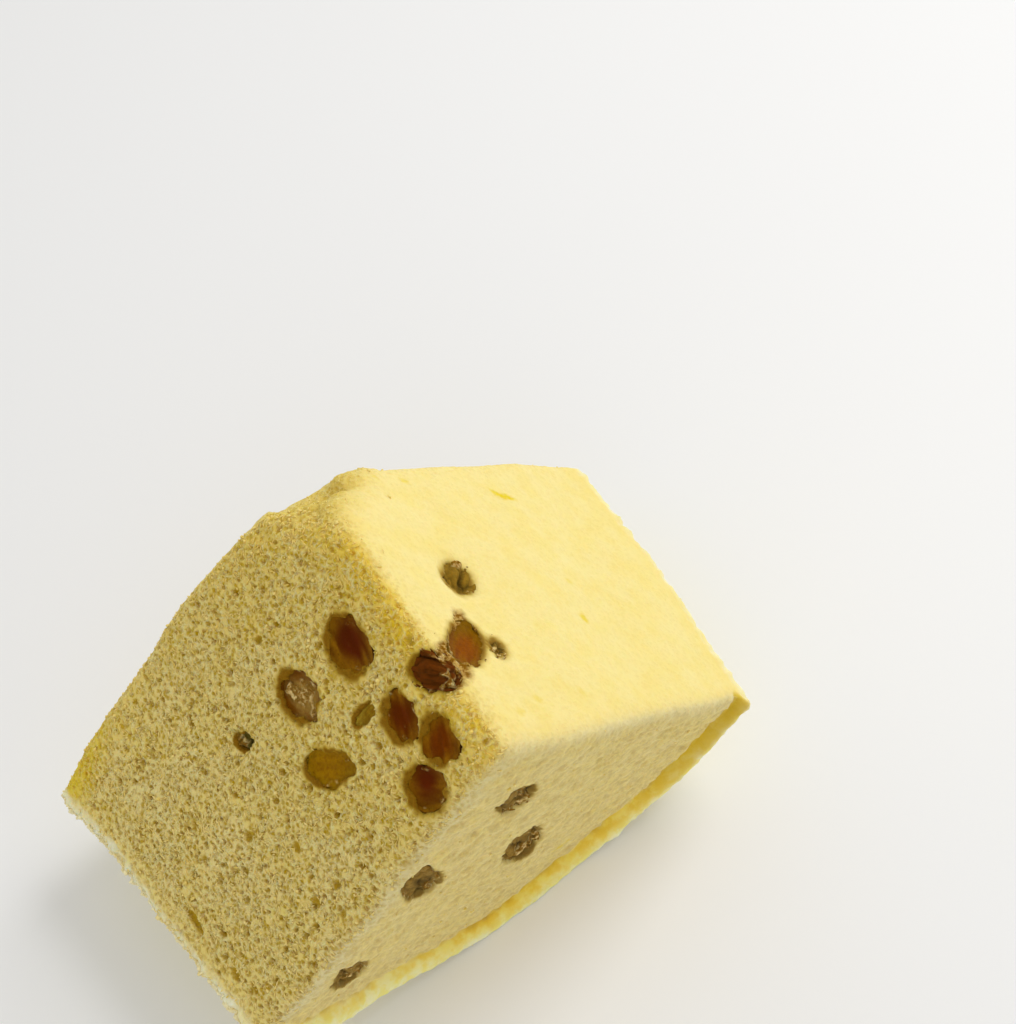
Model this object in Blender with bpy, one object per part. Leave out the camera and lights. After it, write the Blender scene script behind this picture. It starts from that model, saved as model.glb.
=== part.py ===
"""A quarter of a round steamed sponge cake with raisins, standing on its curved side.

Cake coordinates, used for every shape below: x runs out from the cake's axis along the
middle of the wedge, y runs sideways, and z is the height above the cake's wide face.
The wedge stands with x pointing down, so that the two cut faces meet in a ridge on top.
"""
import math
import random

import bmesh
import bpy
import numpy as np
from mathutils import Matrix, Vector

# ---- driving dimensions, in metres and degrees ----
NARROW_RADIUS = 0.0760      # radius of the cake at its narrow face
WIDE_RADIUS = 0.0836        # radius of the cake at its wide face
CAKE_HEIGHT = 0.0606        # from the wide face to the narrow face
WEDGE_ANGLE = math.radians(88)
REST_FLAT_DEPTH = 0.0012    # how far the curved side is pressed flat where it rests
EDGE_SOFTNESS = 0.0007      # larger values round the edges more
UNEVENNESS = 0.0004         # how far a face wanders from its plane
POCKET_GAP = 0.0004         # room between a raisin and the crumb around it
CUT_LEVEL = -0.00035        # top of a raisin that was cut through, below its face
WHOLE_LEVEL = 0.0009        # height over its face at which a whole raisin flattens off
PRESSED_HEIGHT = 0.15       # share of its height that a raisin keeps above those levels

# The torn corner: how much of each edge is missing at the wide end of the ridge.
TORN_RIDGE = 0.0130
TORN_LEFT = 0.0140
TORN_RIGHT = 0.0180

# The lip: the rim of the narrow face flares up towards the curved side.
LIP_WIDTH = 0.0046
LIP_RISE = 0.0026

HALF_ANGLE = WEDGE_ANGLE / 2
WALL_SLOPE = math.atan2(WIDE_RADIUS - NARROW_RADIUS, CAKE_HEIGHT)

# ---- raisins: (out, along, half length, half width, half depth, turn, sink) ----
# On a cut face "out" is the distance from the ridge and "along" the height z; on the two
# round faces "out" is the distance from the axis and "along" the angle in degrees.
# Half sizes, out and sink are in millimetres, turn is in degrees on the face, and a
# raisin whose last value is True was cut or torn off and ends level with the crumb.
LEFT_RAISINS = [
    (12.4, 29.5, 5.1, 3.8, 3.4, 79, 1.2, True),
    (25.9, 27.8, 4.8, 3.6, 3.2, 104, 1.0, True),
    (17.3, 38.9, 2.4, 1.3, 1.8, 4, 0.6, True),
    (41.1, 24.2, 2.9, 2.0, 2.2, 128, 1.4, False),
    (28.8, 39.7, 5.2, 2.9, 2.8, 144, 0.8, True),
    (12.1, 43.9, 3.9, 2.9, 3.0, 65, 1.1, True),
    (8.8, 50.7, 3.8, 3.0, 2.8, 172, 0.9, True),
    (15.8, 54.2, 3.7, 3.4, 2.8, 136, 1.1, True),
    (2.2, 43.0, 4.2, 2.8, 3.2, 130, 1.0, False),
]
RIGHT_RAISINS = [
    (20.2, 27.3, 4.9, 3.2, 2.9, 142, 1.6, False),
    (15.6, 42.2, 2.2, 1.6, 1.7, 142, 1.0, False),
    (9.7, 40.5, 5.2, 3.2, 2.7, 141, 0.5, False),
]
NARROW_RAISINS = [
    (22.6, 1.5, 5.1, 3.3, 3.2, 5, 1.4, True),
    (47.3, 1.5, 6.2, 3.6, 3.3, 2, 1.4, True),
    (35.5, -29.5, 5.8, 3.2, 3.2, 11, 1.4, True),
    (59.5, -34.5, 5.6, 3.4, 3.2, 6, 1.5, True),
]
WIDE_RAISINS = [
    (33.0, -14.0, 5.6, 4.2, 3.6, 30, 0.9, False),
    (52.0, 17.0, 5.2, 4.0, 3.4, 115, 0.8, False),
    (66.0, -24.0, 5.8, 3.6, 3.2, 70, 1.0, False),
    (41.0, 33.0, 4.8, 3.6, 3.2, 160, 1.1, False),
]

CRUMB_COLOUR = (0.83, 0.66, 0.30, 1.0)
RAISIN_COLOUR = (0.11, 0.05, 0.015, 1.0)
MM = 0.001


def material(name, colour, roughness):
    """A Principled material with one colour, roughness and no metal."""
    mat = bpy.data.materials.new(name)
    mat.use_nodes = True
    shader = mat.node_tree.nodes["Principled BSDF"]
    shader.inputs["Base Color"].default_value = colour
    shader.inputs["Roughness"].default_value = roughness
    shader.inputs["Metallic"].default_value = 0.0
    mat.diffuse_color = colour
    return mat


def add_object(name, bm, mat, parent):
    """Turn a closed bmesh into a smooth-shaded object on the cake's axis."""
    if bm.calc_volume(signed=True) < 0:
        bmesh.ops.reverse_faces(bm, faces=bm.faces[:])
    mesh = bpy.data.meshes.new(name)
    bm.to_mesh(mesh)
    bm.free()
    mesh.shade_smooth()
    mesh.set_sharp_from_angle(angle=math.radians(50))
    obj = bpy.data.objects.new(name, mesh)
    bpy.context.scene.collection.objects.link(obj)
    obj.parent = parent
    if mat is not None:
        mesh.materials.append(mat)
    return obj


def as_cutter(obj):
    """Mark an object as a tool: it cuts, but isn't part of the cake."""
    obj.hide_render = True
    obj.display_type = "WIRE"


# ---- the wedge's form ----
def wander(points, seed):
    """Slow unevenness between -1 and 1: four waves in random directions."""
    rng = random.Random(seed)
    total = np.zeros(len(points))
    for wave in range(4):
        turn = rng.uniform(0, 2 * math.pi)
        lift = rng.uniform(-0.9, 0.9)
        direction = np.array([math.cos(turn), math.sin(turn), lift])
        length = rng.uniform(0.018, 0.045)
        total += np.sin(points @ direction * (2 * math.pi / length) + rng.uniform(0, 6.28))
    return total / 2.2


def lip_height(radius):
    """Rise of the narrow face near its rim: steep at first, level at the curved side."""
    share = np.clip((radius - NARROW_RADIUS + LIP_WIDTH) / LIP_WIDTH, 0, 1)
    return LIP_RISE * (1 - (1 - share) ** 2)


def lip_slope(radius):
    """Slope of the lip, which falls evenly to zero at the curved side."""
    share = (radius - NARROW_RADIUS + LIP_WIDTH) / LIP_WIDTH
    on_lip = (share > 0) & (share < 1)
    return np.where(on_lip, LIP_RISE * 2 * (1 - share) / LIP_WIDTH, 0)


def torn_plane():
    """The plane of the torn corner, through one point on each of its three edges."""
    left = Vector((math.cos(HALF_ANGLE), -math.sin(HALF_ANGLE), 0)) * TORN_LEFT
    right = Vector((math.cos(HALF_ANGLE), math.sin(HALF_ANGLE), 0)) * TORN_RIGHT
    ridge = Vector((0, 0, TORN_RIDGE))
    normal = (right - left).cross(ridge - left).normalized()
    if normal.x > 0:
        normal.negate()
    return np.array(normal), float(normal.dot(ridge))


def face_distances(points):
    """Signed distance of each point to each face, and each face's outward direction."""
    x, y, z = points[:, 0], points[:, 1], points[:, 2]
    ones = np.ones(len(points))
    radius = np.maximum(np.hypot(x, y), 1e-9)
    wall_radius = WIDE_RADIUS + (NARROW_RADIUS - WIDE_RADIUS) * z / CAKE_HEIGHT
    sin_half, cos_half = math.sin(HALF_ANGLE), math.cos(HALF_ANGLE)
    torn_normal, torn_offset = torn_plane()
    left = np.outer(ones, (-sin_half, -cos_half, 0))
    right = np.outer(ones, (-sin_half, cos_half, 0))
    slope = lip_slope(radius)
    steepness = np.hypot(1, slope)
    narrow = np.stack([-slope * x / radius, -slope * y / radius, ones], 1) / steepness[:, None]
    wide = np.outer(ones, (0, 0, -1))
    torn = np.outer(ones, torn_normal)
    slope_cos, slope_sin = math.cos(WALL_SLOPE), math.sin(WALL_SLOPE)
    wall = np.stack([x / radius * slope_cos, y / radius * slope_cos, slope_sin * ones], 1)
    normals = [left, right, narrow, wide, wall, torn]
    distances = [
        np.sum(left * points, axis=1),
        np.sum(right * points, axis=1),
        (z - CAKE_HEIGHT - lip_height(radius)) / steepness,
        -z,
        (radius - wall_radius) * slope_cos,
        np.sum(torn * points, axis=1) - torn_offset,
    ]
    swings = [1.0, 1.0, 1.0, 1.0, 0.6, 2.2]
    uneven = [d + UNEVENNESS * s * (wander(points, 20 + i) + 1)
              for i, (d, s) in enumerate(zip(distances, swings))]
    return np.stack(uneven, 1), np.stack(normals, 1)


def settle(points):
    """Move points onto the wedge's soft-edged, uneven surface.

    The surface is where a soft maximum of the distances to all faces is zero, and each
    step moves a point against the mixed outward direction by the distance that is left.
    """
    points = points.copy()
    for step in range(6):
        distances, normals = face_distances(points)
        peak = distances.max(axis=1, keepdims=True)
        weights = np.exp((distances - peak) / EDGE_SOFTNESS)
        total = weights.sum(axis=1, keepdims=True)
        level = peak + EDGE_SOFTNESS * np.log(total)
        push = np.einsum("ij,ijk->ik", weights / total, normals)
        points -= push * level / np.sum(push * push, axis=1, keepdims=True)
    return points


def spaced(first, last, count, edge):
    """Positions from first to last with one extra close to each end."""
    inner = np.linspace(first + 4 * edge, last - 4 * edge, count)
    return [first, first + edge, *inner, last - edge, last]


def wedge_outline():
    """Outline of the wedge at unit radius: out along the left cut, round, and back."""
    edge = 0.03
    outs = spaced(0.0, 1.0, 8, edge)
    turns = spaced(-HALF_ANGLE, HALF_ANGLE, 11, edge)
    left = [(r * math.cos(HALF_ANGLE), -r * math.sin(HALF_ANGLE)) for r in outs]
    arc = [(math.cos(t), math.sin(t)) for t in turns[1:-1]]
    right = [(r * math.cos(HALF_ANGLE), r * math.sin(HALF_ANGLE)) for r in reversed(outs[1:])]
    return np.array(left + arc + right)


def wedge_rings():
    """Closed rings (share of the height, spread) from one round face's middle to the other's."""
    wide_spreads = [0.12, 0.3, 0.48, 0.66, 0.82, 0.95]
    narrow_spreads = [0.12, 0.3, 0.46, 0.6, 0.72, 0.8, 0.85, 0.9, 0.95]
    rings = [(0.0, s) for s in wide_spreads]
    rings += [(h, 1.0) for h in spaced(0.0, 1.0, 9, 0.025)]
    rings += [(1.0, s) for s in reversed(narrow_spreads)]
    return rings


def make_wedge(parent, mat):
    """The crumb: rings of the wedge's outline, joined by quads and closed by fans."""
    outline = wedge_outline()
    middle = np.array([0.62, 0.0])
    points = []
    for share, spread in wedge_rings():
        radius = WIDE_RADIUS + (NARROW_RADIUS - WIDE_RADIUS) * share
        flat = (middle + (outline - middle) * spread) * radius
        heights = share * (CAKE_HEIGHT + lip_height(np.hypot(flat[:, 0], flat[:, 1])))
        points += [(x, y, height) for (x, y), height in zip(flat, heights)]
    points.append((middle[0] * WIDE_RADIUS, 0.0, 0.0))
    points.append((middle[0] * NARROW_RADIUS, 0.0, CAKE_HEIGHT))
    points = settle(np.array(points))

    bm = bmesh.new()
    verts = [bm.verts.new(p) for p in points]
    around = len(outline)
    rings = len(wedge_rings())
    for ring in range(rings - 1):
        low, high = ring * around, (ring + 1) * around
        for i in range(around):
            j = (i + 1) % around
            bm.faces.new((verts[low + i], verts[low + j], verts[high + j], verts[high + i]))
    last = (rings - 1) * around
    for i in range(around):
        j = (i + 1) % around
        bm.faces.new((verts[i], verts[-2], verts[j]))
        bm.faces.new((verts[last + i], verts[last + j], verts[-1]))
    return add_object("sponge_crumb", bm, mat, parent)


# ---- raisins ----
def face_frame(face, out, along):
    """A place on a face with its two directions on the face and its outward normal."""
    if face in ("left", "right"):
        side = -1 if face == "left" else 1
        outward = Vector((math.cos(HALF_ANGLE), side * math.sin(HALF_ANGLE), 0))
        normal = Vector((-math.sin(HALF_ANGLE), side * math.cos(HALF_ANGLE), 0))
        place = outward * out * MM + Vector((0, 0, along * MM))
        return place, outward, Vector((0, 0, 1)), normal
    turn = math.radians(along)
    place = Vector((math.cos(turn), math.sin(turn), 0)) * out * MM
    place.z = CAKE_HEIGHT if face == "narrow" else 0.0
    normal = Vector((0, 0, 1 if face == "narrow" else -1))
    return place, Vector((1, 0, 0)), Vector((0, 1, 0)), normal


def raisin_bmesh(face, size, seed, grow=0.0):
    """An uneven ellipsoid sunk in a face: its radius swings three and five times round it.

    A raisin's top is pressed nearly level, below the face if it was cut through and a
    little above it if not. The pocket around a raisin is the same form, grown by the gap
    and not pressed.
    """
    out, along, long_half, wide_half, deep_half, turn, sink, was_cut = size
    place, across, up, normal = face_frame(face, out, along)
    angle = math.radians(turn)
    long_dir = across * math.cos(angle) + up * math.sin(angle)
    wide_dir = normal.cross(long_dir)
    level = CUT_LEVEL if was_cut else WHOLE_LEVEL
    rng = random.Random(seed)
    phase_a, phase_b = rng.uniform(0, 6.28), rng.uniform(0, 6.28)

    bm = bmesh.new()
    bmesh.ops.create_uvsphere(bm, u_segments=14, v_segments=8, radius=1.0)
    for vert in bm.verts:
        a = math.atan2(vert.co.y, vert.co.x)
        flatness = 1 - abs(vert.co.z) ** 3
        furrow = 1 + flatness * (0.05 * math.sin(3 * a + phase_a) + 0.04 * math.sin(5 * a + phase_b))
        long_part = vert.co.x * furrow * (long_half * MM + grow)
        wide_part = vert.co.y * furrow * (wide_half * MM + grow)
        height = vert.co.z * (deep_half * MM + grow) - sink * MM
        if grow == 0.0:
            height = min(height, level + PRESSED_HEIGHT * (height - level))
        vert.co = place + long_dir * long_part + wide_dir * wide_part + normal * height
    return bm


def make_raisins(crumb, parent, mat):
    """Every raisin, each in a pocket cut into the crumb around it."""
    groups = {
        "left": LEFT_RAISINS,
        "right": RIGHT_RAISINS,
        "narrow": NARROW_RAISINS,
        "wide": WIDE_RAISINS,
    }
    seed = 0
    for face, raisins in groups.items():
        for number, size in enumerate(raisins, start=1):
            seed += 1
            name = f"raisin_{face}_{number}"
            add_object(name, raisin_bmesh(face, size, seed), mat, parent)
            pocket_form = raisin_bmesh(face, size, seed, grow=POCKET_GAP)
            pocket = add_object(f"pocket_{face}_{number}", pocket_form, None, parent)
            as_cutter(pocket)
            cut = crumb.modifiers.new(f"pocket_{face}_{number}", "BOOLEAN")
            cut.operation = "DIFFERENCE"
            cut.solver = "EXACT"
            cut.object = pocket


def press_flat(crumb):
    """Cut the small flat spot that the curved side rests on, at z = 0."""
    bm = bmesh.new()
    bmesh.ops.create_cube(bm, size=1.0)
    width = 2 * WIDE_RADIUS
    depth = 20 * MM
    for vert in bm.verts:
        vert.co = Vector((vert.co.x * width, vert.co.y * width, (vert.co.z - 0.5) * depth))
    table = add_object("rest_plane", bm, None, None)
    as_cutter(table)
    cut = crumb.modifiers.new("rest_flat", "BOOLEAN")
    cut.operation = "DIFFERENCE"
    cut.solver = "EXACT"
    cut.object = table


def standing_axis():
    """An empty on the cake's axis that stands the wedge on its curved side.

    It tips the axis by the wall's slope, so that the lowest line of the wall lies level,
    and centres the wedge over the origin.
    """
    slope_cos, slope_sin = math.cos(WALL_SLOPE), math.sin(WALL_SLOPE)
    back = WIDE_RADIUS * slope_sin
    front = -CAKE_HEIGHT * slope_cos
    turn = Matrix((
        (0, 1, 0),
        (slope_sin, 0, -slope_cos),
        (-slope_cos, 0, -slope_sin),
    )).to_4x4()
    lift = Vector((0, -(back + front) / 2, WIDE_RADIUS * slope_cos - REST_FLAT_DEPTH))
    axis = bpy.data.objects.new("cake_axis", None)
    bpy.context.scene.collection.objects.link(axis)
    axis.matrix_world = Matrix.Translation(lift) @ turn
    return axis


def main():
    for obj in list(bpy.data.objects):
        bpy.data.objects.remove(obj, do_unlink=True)
    axis = standing_axis()
    crumb_finish = material("crumb", CRUMB_COLOUR, 0.85)
    raisin_finish = material("raisin", RAISIN_COLOUR, 0.45)
    crumb = make_wedge(axis, crumb_finish)
    make_raisins(crumb, axis, raisin_finish)
    press_flat(crumb)


main()
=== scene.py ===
# %% [markdown]
# # A quarter of a steamed raisin cake
#
# The object is one wedge of a soft steamed sponge cake. It stands on its curved outer side,
# so that its two cut faces meet in a ridge on top, and raisins show in every face.
#
# The plain solids of the wedge and its raisins are loaded as a fixed frame. Everything
# below makes what you see in their place: an open crumb with real gas bubbles in it, the
# thin golden skin, wrinkled and cut raisins, and loose crumbs.
#
# Lengths are in metres. `MM` keeps the small ones readable.

# %% Load the frame
import itertools
import math
import random

import bpy
import numpy as np
from mathutils import Matrix


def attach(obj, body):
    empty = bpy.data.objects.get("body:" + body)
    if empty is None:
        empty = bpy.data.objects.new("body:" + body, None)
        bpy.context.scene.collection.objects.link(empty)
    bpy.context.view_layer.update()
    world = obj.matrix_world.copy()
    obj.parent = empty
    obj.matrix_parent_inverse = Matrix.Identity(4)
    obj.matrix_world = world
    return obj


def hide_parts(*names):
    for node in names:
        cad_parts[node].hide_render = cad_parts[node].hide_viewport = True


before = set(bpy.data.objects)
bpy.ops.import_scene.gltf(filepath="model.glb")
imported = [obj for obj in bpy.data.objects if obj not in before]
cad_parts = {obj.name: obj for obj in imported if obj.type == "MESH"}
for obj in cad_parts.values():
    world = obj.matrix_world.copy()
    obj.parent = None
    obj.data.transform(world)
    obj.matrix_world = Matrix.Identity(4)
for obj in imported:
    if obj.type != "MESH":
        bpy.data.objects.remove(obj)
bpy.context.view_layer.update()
MM = 0.001
print("solids in the frame:", len(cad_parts))


def placed(name, data):
    """A new object that is put into the scene."""
    thing = bpy.data.objects.new(name, data)
    bpy.context.scene.collection.objects.link(thing)
    return thing


# %% [markdown]
# ## Camera
#
# A camera is a place, two angles and a roll. The angles say from where it looks: the
# azimuth turns about the vertical and the elevation lifts it above the table. Three
# rotations multiplied in that order give the camera's matrix, which is easier to check
# against a photograph than three Euler angles typed by hand.

# %% Camera
CAMERA_PLACE = (-0.0355, -0.1176, 0.2564)
CAMERA_AZIMUTH = math.radians(-26.84)
CAMERA_ELEVATION = math.radians(54.58)
CAMERA_ROLL = math.radians(-10.31)
CAMERA_LENS = 51.33

camera = placed("camera", bpy.data.cameras.new("camera"))
camera.data.lens = CAMERA_LENS
camera.data.clip_start = 0.01
camera.matrix_world = (
    Matrix.Translation(CAMERA_PLACE)
    @ Matrix.Rotation(CAMERA_AZIMUTH, 4, "Z")
    @ Matrix.Rotation(math.radians(90) - CAMERA_ELEVATION, 4, "X")
    @ Matrix.Rotation(CAMERA_ROLL, 4, "Z")
)
bpy.context.scene.camera = camera

# %% [markdown]
# ## Light and floor
#
# A pale cake on a pale table looks soft because the light is large. One wide panel stands
# at the right, so that the right cut face is bright and the left one lies in its own
# shade, and a weaker one in front lifts the round face. The world gives an even fill from
# all sides, and the pale floor throws light back up. The Standard view shows colours as
# they are painted.

# %% Light and floor
LIGHT_DISTANCE = 0.9
LIGHT_AIM = np.array([0.0, 0.0, 0.03])
KEY_TOWARDS = np.array([0.66, 0.08, 0.75])
KEY_SIZE = 0.5
KEY_POWER = 3.3
FRONT_TOWARDS = np.array([-0.62, -0.70, 0.35])
FRONT_SIZE = 0.8
FRONT_POWER = 0.56
FILL_STRENGTH = 0.62
FLOOR_COLOUR = (0.91, 0.905, 0.89, 1.0)
FLOOR_ROUGHNESS = 0.6
FLOOR_HALF = 3.0
FLOOR_LEVEL = -0.0002


def soft_panel(name, towards, size, power):
    """A round light panel in one direction, facing the cake's middle."""
    panel = bpy.data.lights.new(name, "AREA")
    panel.shape = "DISK"
    panel.size = size
    panel.energy = power
    direction = towards / np.linalg.norm(towards)
    place = LIGHT_AIM + direction * LIGHT_DISTANCE
    across = np.cross((0, 0, 1), direction)
    across /= np.linalg.norm(across)
    up = np.cross(direction, across)
    turn = Matrix(np.column_stack([across, up, direction]).tolist()).to_4x4()
    placed(name, panel).matrix_world = Matrix.Translation(place.tolist()) @ turn


soft_panel("key_light", KEY_TOWARDS, KEY_SIZE, KEY_POWER)
soft_panel("front_light", FRONT_TOWARDS, FRONT_SIZE, FRONT_POWER)

world = bpy.data.worlds.new("studio")
world.use_nodes = True
bpy.context.scene.world = world
sky = world.node_tree.nodes["Background"]
sky.inputs["Color"].default_value = (1.0, 1.0, 1.0, 1.0)
sky.inputs["Strength"].default_value = FILL_STRENGTH
bpy.context.scene.view_settings.view_transform = "Standard"

floor_finish = bpy.data.materials.new("floor")
floor_finish.use_nodes = True
floor_shader = floor_finish.node_tree.nodes["Principled BSDF"]
floor_shader.inputs["Base Color"].default_value = FLOOR_COLOUR
floor_shader.inputs["Roughness"].default_value = FLOOR_ROUGHNESS
floor_mesh = bpy.data.meshes.new("floor")
floor_corners = [(x * FLOOR_HALF, y * FLOOR_HALF, FLOOR_LEVEL)
                 for x, y in ((-1, -1), (1, -1), (1, 1), (-1, 1))]
floor_mesh.from_pydata(floor_corners, [], [(0, 1, 2, 3)])
floor_mesh.materials.append(floor_finish)
floor = placed("floor", floor_mesh)

# %% [markdown]
# ## The wedge's form
#
# The cake has its own coordinates: x runs out from its axis along the middle of the wedge,
# y runs sideways, and z is the height above the wide round face. Six faces bound the
# wedge: two cuts, two round faces, the curved wall, and a torn corner at the far end of
# the ridge.
#
# The rim of the narrow face flares up into a lip where it meets the wall.
#
# A box made from six planes would have knife edges. Instead the surface is where a *soft
# maximum* of the distances to all faces is zero. Near an edge both distances count, and
# the edge comes out rounded, as a soft crumb's edge is.

# %% Sizes of the wedge
NARROW_RADIUS = 76.0 * MM
WIDE_RADIUS = 83.6 * MM
CAKE_HEIGHT = 60.6 * MM
HALF_ANGLE = math.radians(44)
HALF_COS, HALF_SIN = math.cos(HALF_ANGLE), math.sin(HALF_ANGLE)
REST_FLAT_DEPTH = 1.2 * MM
EDGE_SOFTNESS = 0.7 * MM
EXTRA_SOFTNESS = 0.7 * MM
UNEVENNESS = 0.4 * MM
WANDER_SEED = 20
WAVES = 4
WAVE_LENGTHS = (18 * MM, 45 * MM)
TORN_RIDGE = 13.0 * MM
TORN_LEFT = 14.0 * MM
TORN_RIGHT = 18.0 * MM
LIP_WIDTH = 4.6 * MM
LIP_RISE = 2.6 * MM
WALL_SLOPE = math.atan2(WIDE_RADIUS - NARROW_RADIUS, CAKE_HEIGHT)
SLOPE_COS, SLOPE_SIN = math.cos(WALL_SLOPE), math.sin(WALL_SLOPE)
FACES = ["left", "right", "narrow", "wide", "wall", "torn"]
FACE_SWINGS = [1.0, 1.0, 1.0, 1.0, 0.6, 2.2]
SETTLE_STEPS = 6
NEARLY_ZERO = 1e-9


# %% Stand the cake up
def to_world(points):
    """Stand the cake up: x points down, and the axis is tipped by the wall's slope."""
    turn = np.array([
        (0, 1, 0),
        (SLOPE_SIN, 0, -SLOPE_COS),
        (-SLOPE_COS, 0, -SLOPE_SIN),
    ])
    back = WIDE_RADIUS * SLOPE_SIN
    front = -CAKE_HEIGHT * SLOPE_COS
    lift = np.array([0, -(back + front) / 2, WIDE_RADIUS * SLOPE_COS - REST_FLAT_DEPTH])
    return points @ turn.T + lift


# %% Wall and lip
def wall_radius(heights):
    """The cake's radius, which shrinks evenly from the wide face to the narrow one."""
    return WIDE_RADIUS + (NARROW_RADIUS - WIDE_RADIUS) * heights / CAKE_HEIGHT


def lip_height(radius):
    """Rise of the narrow face near its rim: 1 - (1 - t)2, level where t = 1 at the wall."""
    t = np.clip((radius - NARROW_RADIUS + LIP_WIDTH) / LIP_WIDTH, 0, 1)
    return LIP_RISE * (1 - (1 - t) ** 2)


def lip_slope(radius):
    """The lip's slope, 2 (1 - t) times its rise over its width."""
    t = (radius - NARROW_RADIUS + LIP_WIDTH) / LIP_WIDTH
    return np.where((t > 0) & (t < 1), LIP_RISE * 2 * (1 - t) / LIP_WIDTH, 0)


# %% Slow unevenness
def wander(points, seed):
    """Slow unevenness: the sum of sin(2 pi p / length + phase) over a few waves.

    The waves run in random directions. A sum of four mostly stays between -2.2 and 2.2,
    and so dividing it by 2.2 brings it to about -1 to 1.
    """
    rng = random.Random(seed)
    total = np.zeros(len(points))
    for _ in range(WAVES):
        turn = rng.uniform(0, 2 * math.pi)
        lift = rng.uniform(-0.9, 0.9)
        direction = np.array([math.cos(turn), math.sin(turn), lift])
        length = rng.uniform(*WAVE_LENGTHS)
        phase = rng.uniform(0, 6.28)
        total += np.sin(points @ direction * (2 * math.pi / length) + phase)
    return total / 2.2


# %% Distances to the faces
def torn_plane():
    """The plane through one point on each of the torn corner's three edges."""
    left = np.array([HALF_COS, -HALF_SIN, 0]) * TORN_LEFT
    right = np.array([HALF_COS, HALF_SIN, 0]) * TORN_RIGHT
    ridge = np.array([0, 0, TORN_RIDGE])
    normal = np.cross(right - left, ridge - left)
    normal *= -np.sign(normal[0]) / np.linalg.norm(normal)
    return normal, float(normal @ ridge)


def face_distances(points):
    """Signed distance of each point to each face, and each face's outward direction."""
    x, y, z = points.T
    ones = np.ones(len(points))
    radius = np.maximum(np.hypot(x, y), NEARLY_ZERO)
    torn_normal, torn_offset = torn_plane()
    left = np.outer(ones, (-HALF_SIN, -HALF_COS, 0))
    right = np.outer(ones, (-HALF_SIN, HALF_COS, 0))
    slope = lip_slope(radius)
    steepness = np.hypot(1, slope)
    narrow = np.stack([-slope * x / radius, -slope * y / radius, ones], 1) / steepness[:, None]
    wide = np.outer(ones, (0, 0, -1))
    torn = np.outer(ones, torn_normal)
    wall = np.stack([x / radius * SLOPE_COS, y / radius * SLOPE_COS, SLOPE_SIN * ones], 1)
    distances = [
        np.sum(left * points, axis=1),
        np.sum(right * points, axis=1),
        (z - CAKE_HEIGHT - lip_height(radius)) / steepness,
        -z,
        (radius - wall_radius(z)) * SLOPE_COS,
        np.sum(torn * points, axis=1) - torn_offset,
    ]
    uneven = [distance + UNEVENNESS * swing * (wander(points, WANDER_SEED + i) + 1)
              for i, (distance, swing) in enumerate(zip(distances, FACE_SWINGS))]
    return np.stack(uneven, 1), np.stack([left, right, narrow, wide, wall, torn], 1)


# %% Shares of the faces
def face_shares(points):
    """How much each point belongs to each face, and the mixed outward direction.

    The share of a face is exp(distance / softness), divided by the sum over all faces. The
    softness falls off evenly from the ridge out to the wall, whose rim is crisper.
    """
    distances, normals = face_distances(points)
    radius = np.hypot(points[:, [0]], points[:, [1]])
    inwards = np.clip(1 - radius / (NARROW_RADIUS - LIP_WIDTH), 0, 1)
    softness = EDGE_SOFTNESS + EXTRA_SOFTNESS * np.sqrt(inwards)
    peak = distances.max(axis=1, keepdims=True)
    weights = np.exp((distances - peak) / softness)
    total = weights.sum(axis=1, keepdims=True)
    level = peak + softness * np.log(total)
    shares = weights / total
    push = np.einsum("ij,ijk->ik", shares, normals)
    return shares, push, level, distances


def settle(points):
    """Move points onto the wedge's surface in a few steps against the outward direction."""
    points = points.copy()
    for _ in range(SETTLE_STEPS):
        _, push, level, _ = face_shares(points)
        points -= push * level / np.sum(push * push, axis=1, keepdims=True)
    return points


# %% [markdown]
# ## One closed skin from five grids
#
# Each face of the wedge is a grid over two parameters, u and v from 0 to 1. The flat left
# cut needs many small cells for its open crumb, and the hidden wall needs few, so the
# grids have different spacings. Where two faces meet they share one row of points, and a
# *zip* joins that row to the grid inside it: walk along both rows at once, and let each
# new point make a triangle with the last point passed on the other row.
#
# A single closed mesh matters here, because light that soaks into the crumb has to be able
# to travel round the ridge from the bright face to the shaded one.

# %% The five face grids
def cut_point(side):
    """u runs out from the ridge to the wall, v from the wide face up to the narrow one."""
    def place(u, v):
        out = u * wall_radius(v * CAKE_HEIGHT)
        height = v * (CAKE_HEIGHT + lip_height(out))
        return np.stack([out * HALF_COS, side * out * HALF_SIN, height], 1)
    return place


def round_point(height, rise):
    """A square bent into a quarter disc: (u sqrt(1 - v2/2), v sqrt(1 - u2/2))."""
    def place(u, v):
        across = u * np.sqrt(1 - v * v / 2)
        along = v * np.sqrt(1 - u * u / 2)
        angle = np.arctan2(along, across) * (2 * HALF_ANGLE / (math.pi / 2)) - HALF_ANGLE
        out = np.hypot(across, along) * wall_radius(height)
        return np.stack([out * np.cos(angle), out * np.sin(angle), height + rise(out)], 1)
    return place


def wall_point(u, v):
    """u turns about the cake's axis from the left cut to the right one, v rises."""
    angle = (2 * u - 1) * HALF_ANGLE
    out = wall_radius(v * CAKE_HEIGHT)
    return np.stack([out * np.cos(angle), out * np.sin(angle), v * (CAKE_HEIGHT + LIP_RISE)], 1)


# %% Rows shared by two faces
EDGE_SPACING = 0.32 * MM
RADIUS_STEPS = round(WIDE_RADIUS / EDGE_SPACING)
HEIGHT_STEPS = round(CAKE_HEIGHT / EDGE_SPACING)
ARC_STEPS = 2 * round(HALF_ANGLE * WIDE_RADIUS / EDGE_SPACING)


def even_steps(count):
    """Equal steps from 0 towards 1, without the end."""
    return np.arange(count) / count


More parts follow.
